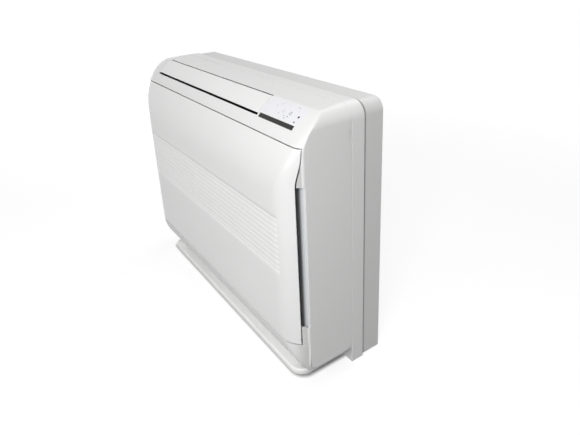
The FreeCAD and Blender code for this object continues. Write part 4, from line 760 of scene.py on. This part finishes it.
# the floor's glow: none under the unit, rising around it with the distance from an inner rectangle
def footFade(nodes, links, reached):
    for operation, by in (("SUBTRACT", studio["footMiddle"]), ("ABSOLUTE", None),
                          ("SUBTRACT", studio["footHalf"]), ("MAXIMUM", (0.0, 0.0, 0.0)), ("LENGTH", None)):
        step = addNode(nodes, "VectorMath", {1: by} if by else (), operation=operation)
        links.new(reached, step.inputs[0])
        reached = step.outputs["Value" if operation == "LENGTH" else "Vector"]
    return smoothRise(nodes, links, reached, studio["footStart"], studio["footEnd"], studio["floorGlow"])


# shader that goes from one to another by a factor
def addMix(nodes, links, factor, first, second):
    mix = addNode(nodes, "MixShader")
    links.new(factor, mix.inputs["Fac"])
    links.new(first.outputs[0], mix.inputs[1])
    links.new(second.outputs[0], mix.inputs[2])
    return mix


# floor: for the camera a grey that keeps shadows plus a glow, white further off; for bounced light darker
def addFloor():
    far = studio["reach"]
    mesh = bpy.data.meshes.new("studioFloor")
    mesh.from_pydata([(-far, -far, 0), (far, -far, 0), (far, far, 0), (-far, far, 0)], [], [(0, 1, 2, 3)])
    floor = bpy.data.objects.new("studioFloor", mesh)
    scene.collection.objects.link(floor)
    paint = bpy.data.materials.new("paleFloor")
    paint.use_nodes = True
    mesh.materials.append(paint)
    nodes, links = paint.node_tree.nodes, paint.node_tree.links
    nodes.remove(nodes["Principled BSDF"])
    place = addNode(nodes, "TexCoord").outputs["Object"]
    seen = addNode(nodes, "BsdfDiffuse", {"Color": grey(studio["floor"])})
    unseen = addNode(nodes, "BsdfDiffuse", {"Color": grey(studio["bounce"])})
    glow, white, both = (addNode(nodes, kind) for kind in ("Emission", "Emission", "AddShader"))
    links.new(footFade(nodes, links, place), glow.inputs["Strength"])
    links.new(seen.outputs["BSDF"], both.inputs[0])
    links.new(glow.outputs["Emission"], both.inputs[1])
    span = addNode(nodes, "VectorMath", operation="LENGTH")
    links.new(place, span.inputs[0])
    fade = smoothRise(nodes, links, span.outputs["Value"], studio["fadeStart"], studio["fadeEnd"])
    near = addMix(nodes, links, fade, both, white)
    choice = addMix(nodes, links, seenByCamera(nodes, links), unseen, near)
    links.new(choice.outputs["Shader"], nodes["Material Output"].inputs["Surface"])


# world: white for the camera, a dim even light for the rest
def addWorld():
    world = bpy.data.worlds.new("studioWorld")
    scene.world = world
    world.use_nodes = True
    nodes, links = world.node_tree.nodes, world.node_tree.links
    sky = nodes["Background"]
    sky.inputs["Color"].default_value = grey(1.0)
    sky.inputs["Strength"].default_value = studio["sky"]
    white = addNode(nodes, "Background", {"Color": grey(1.0), "Strength": 1.0})
    choice = addMix(nodes, links, seenByCamera(nodes, links), sky, white)
    links.new(choice.outputs["Shader"], nodes["World Output"].inputs["Surface"])


# lamps: square soft lights, all turned towards the middle of the unit
def addLamps():
    for place, size, power in studio["lamps"]:
        lamp = bpy.data.lights.new("softLight", "AREA")
        lamp.energy = power
        lamp.size = size
        holder = bpy.data.objects.new("softLight", lamp)
        scene.collection.objects.link(holder)
        holder.location = place
        holder.rotation_mode = "QUATERNION"
        holder.rotation_quaternion = (Vector(studio["aim"]) - Vector(place)).to_track_quat("-Z", "Y")


addFloor()
addWorld()
addLamps()
scene.view_settings.view_transform = "Standard"
print("stage set")
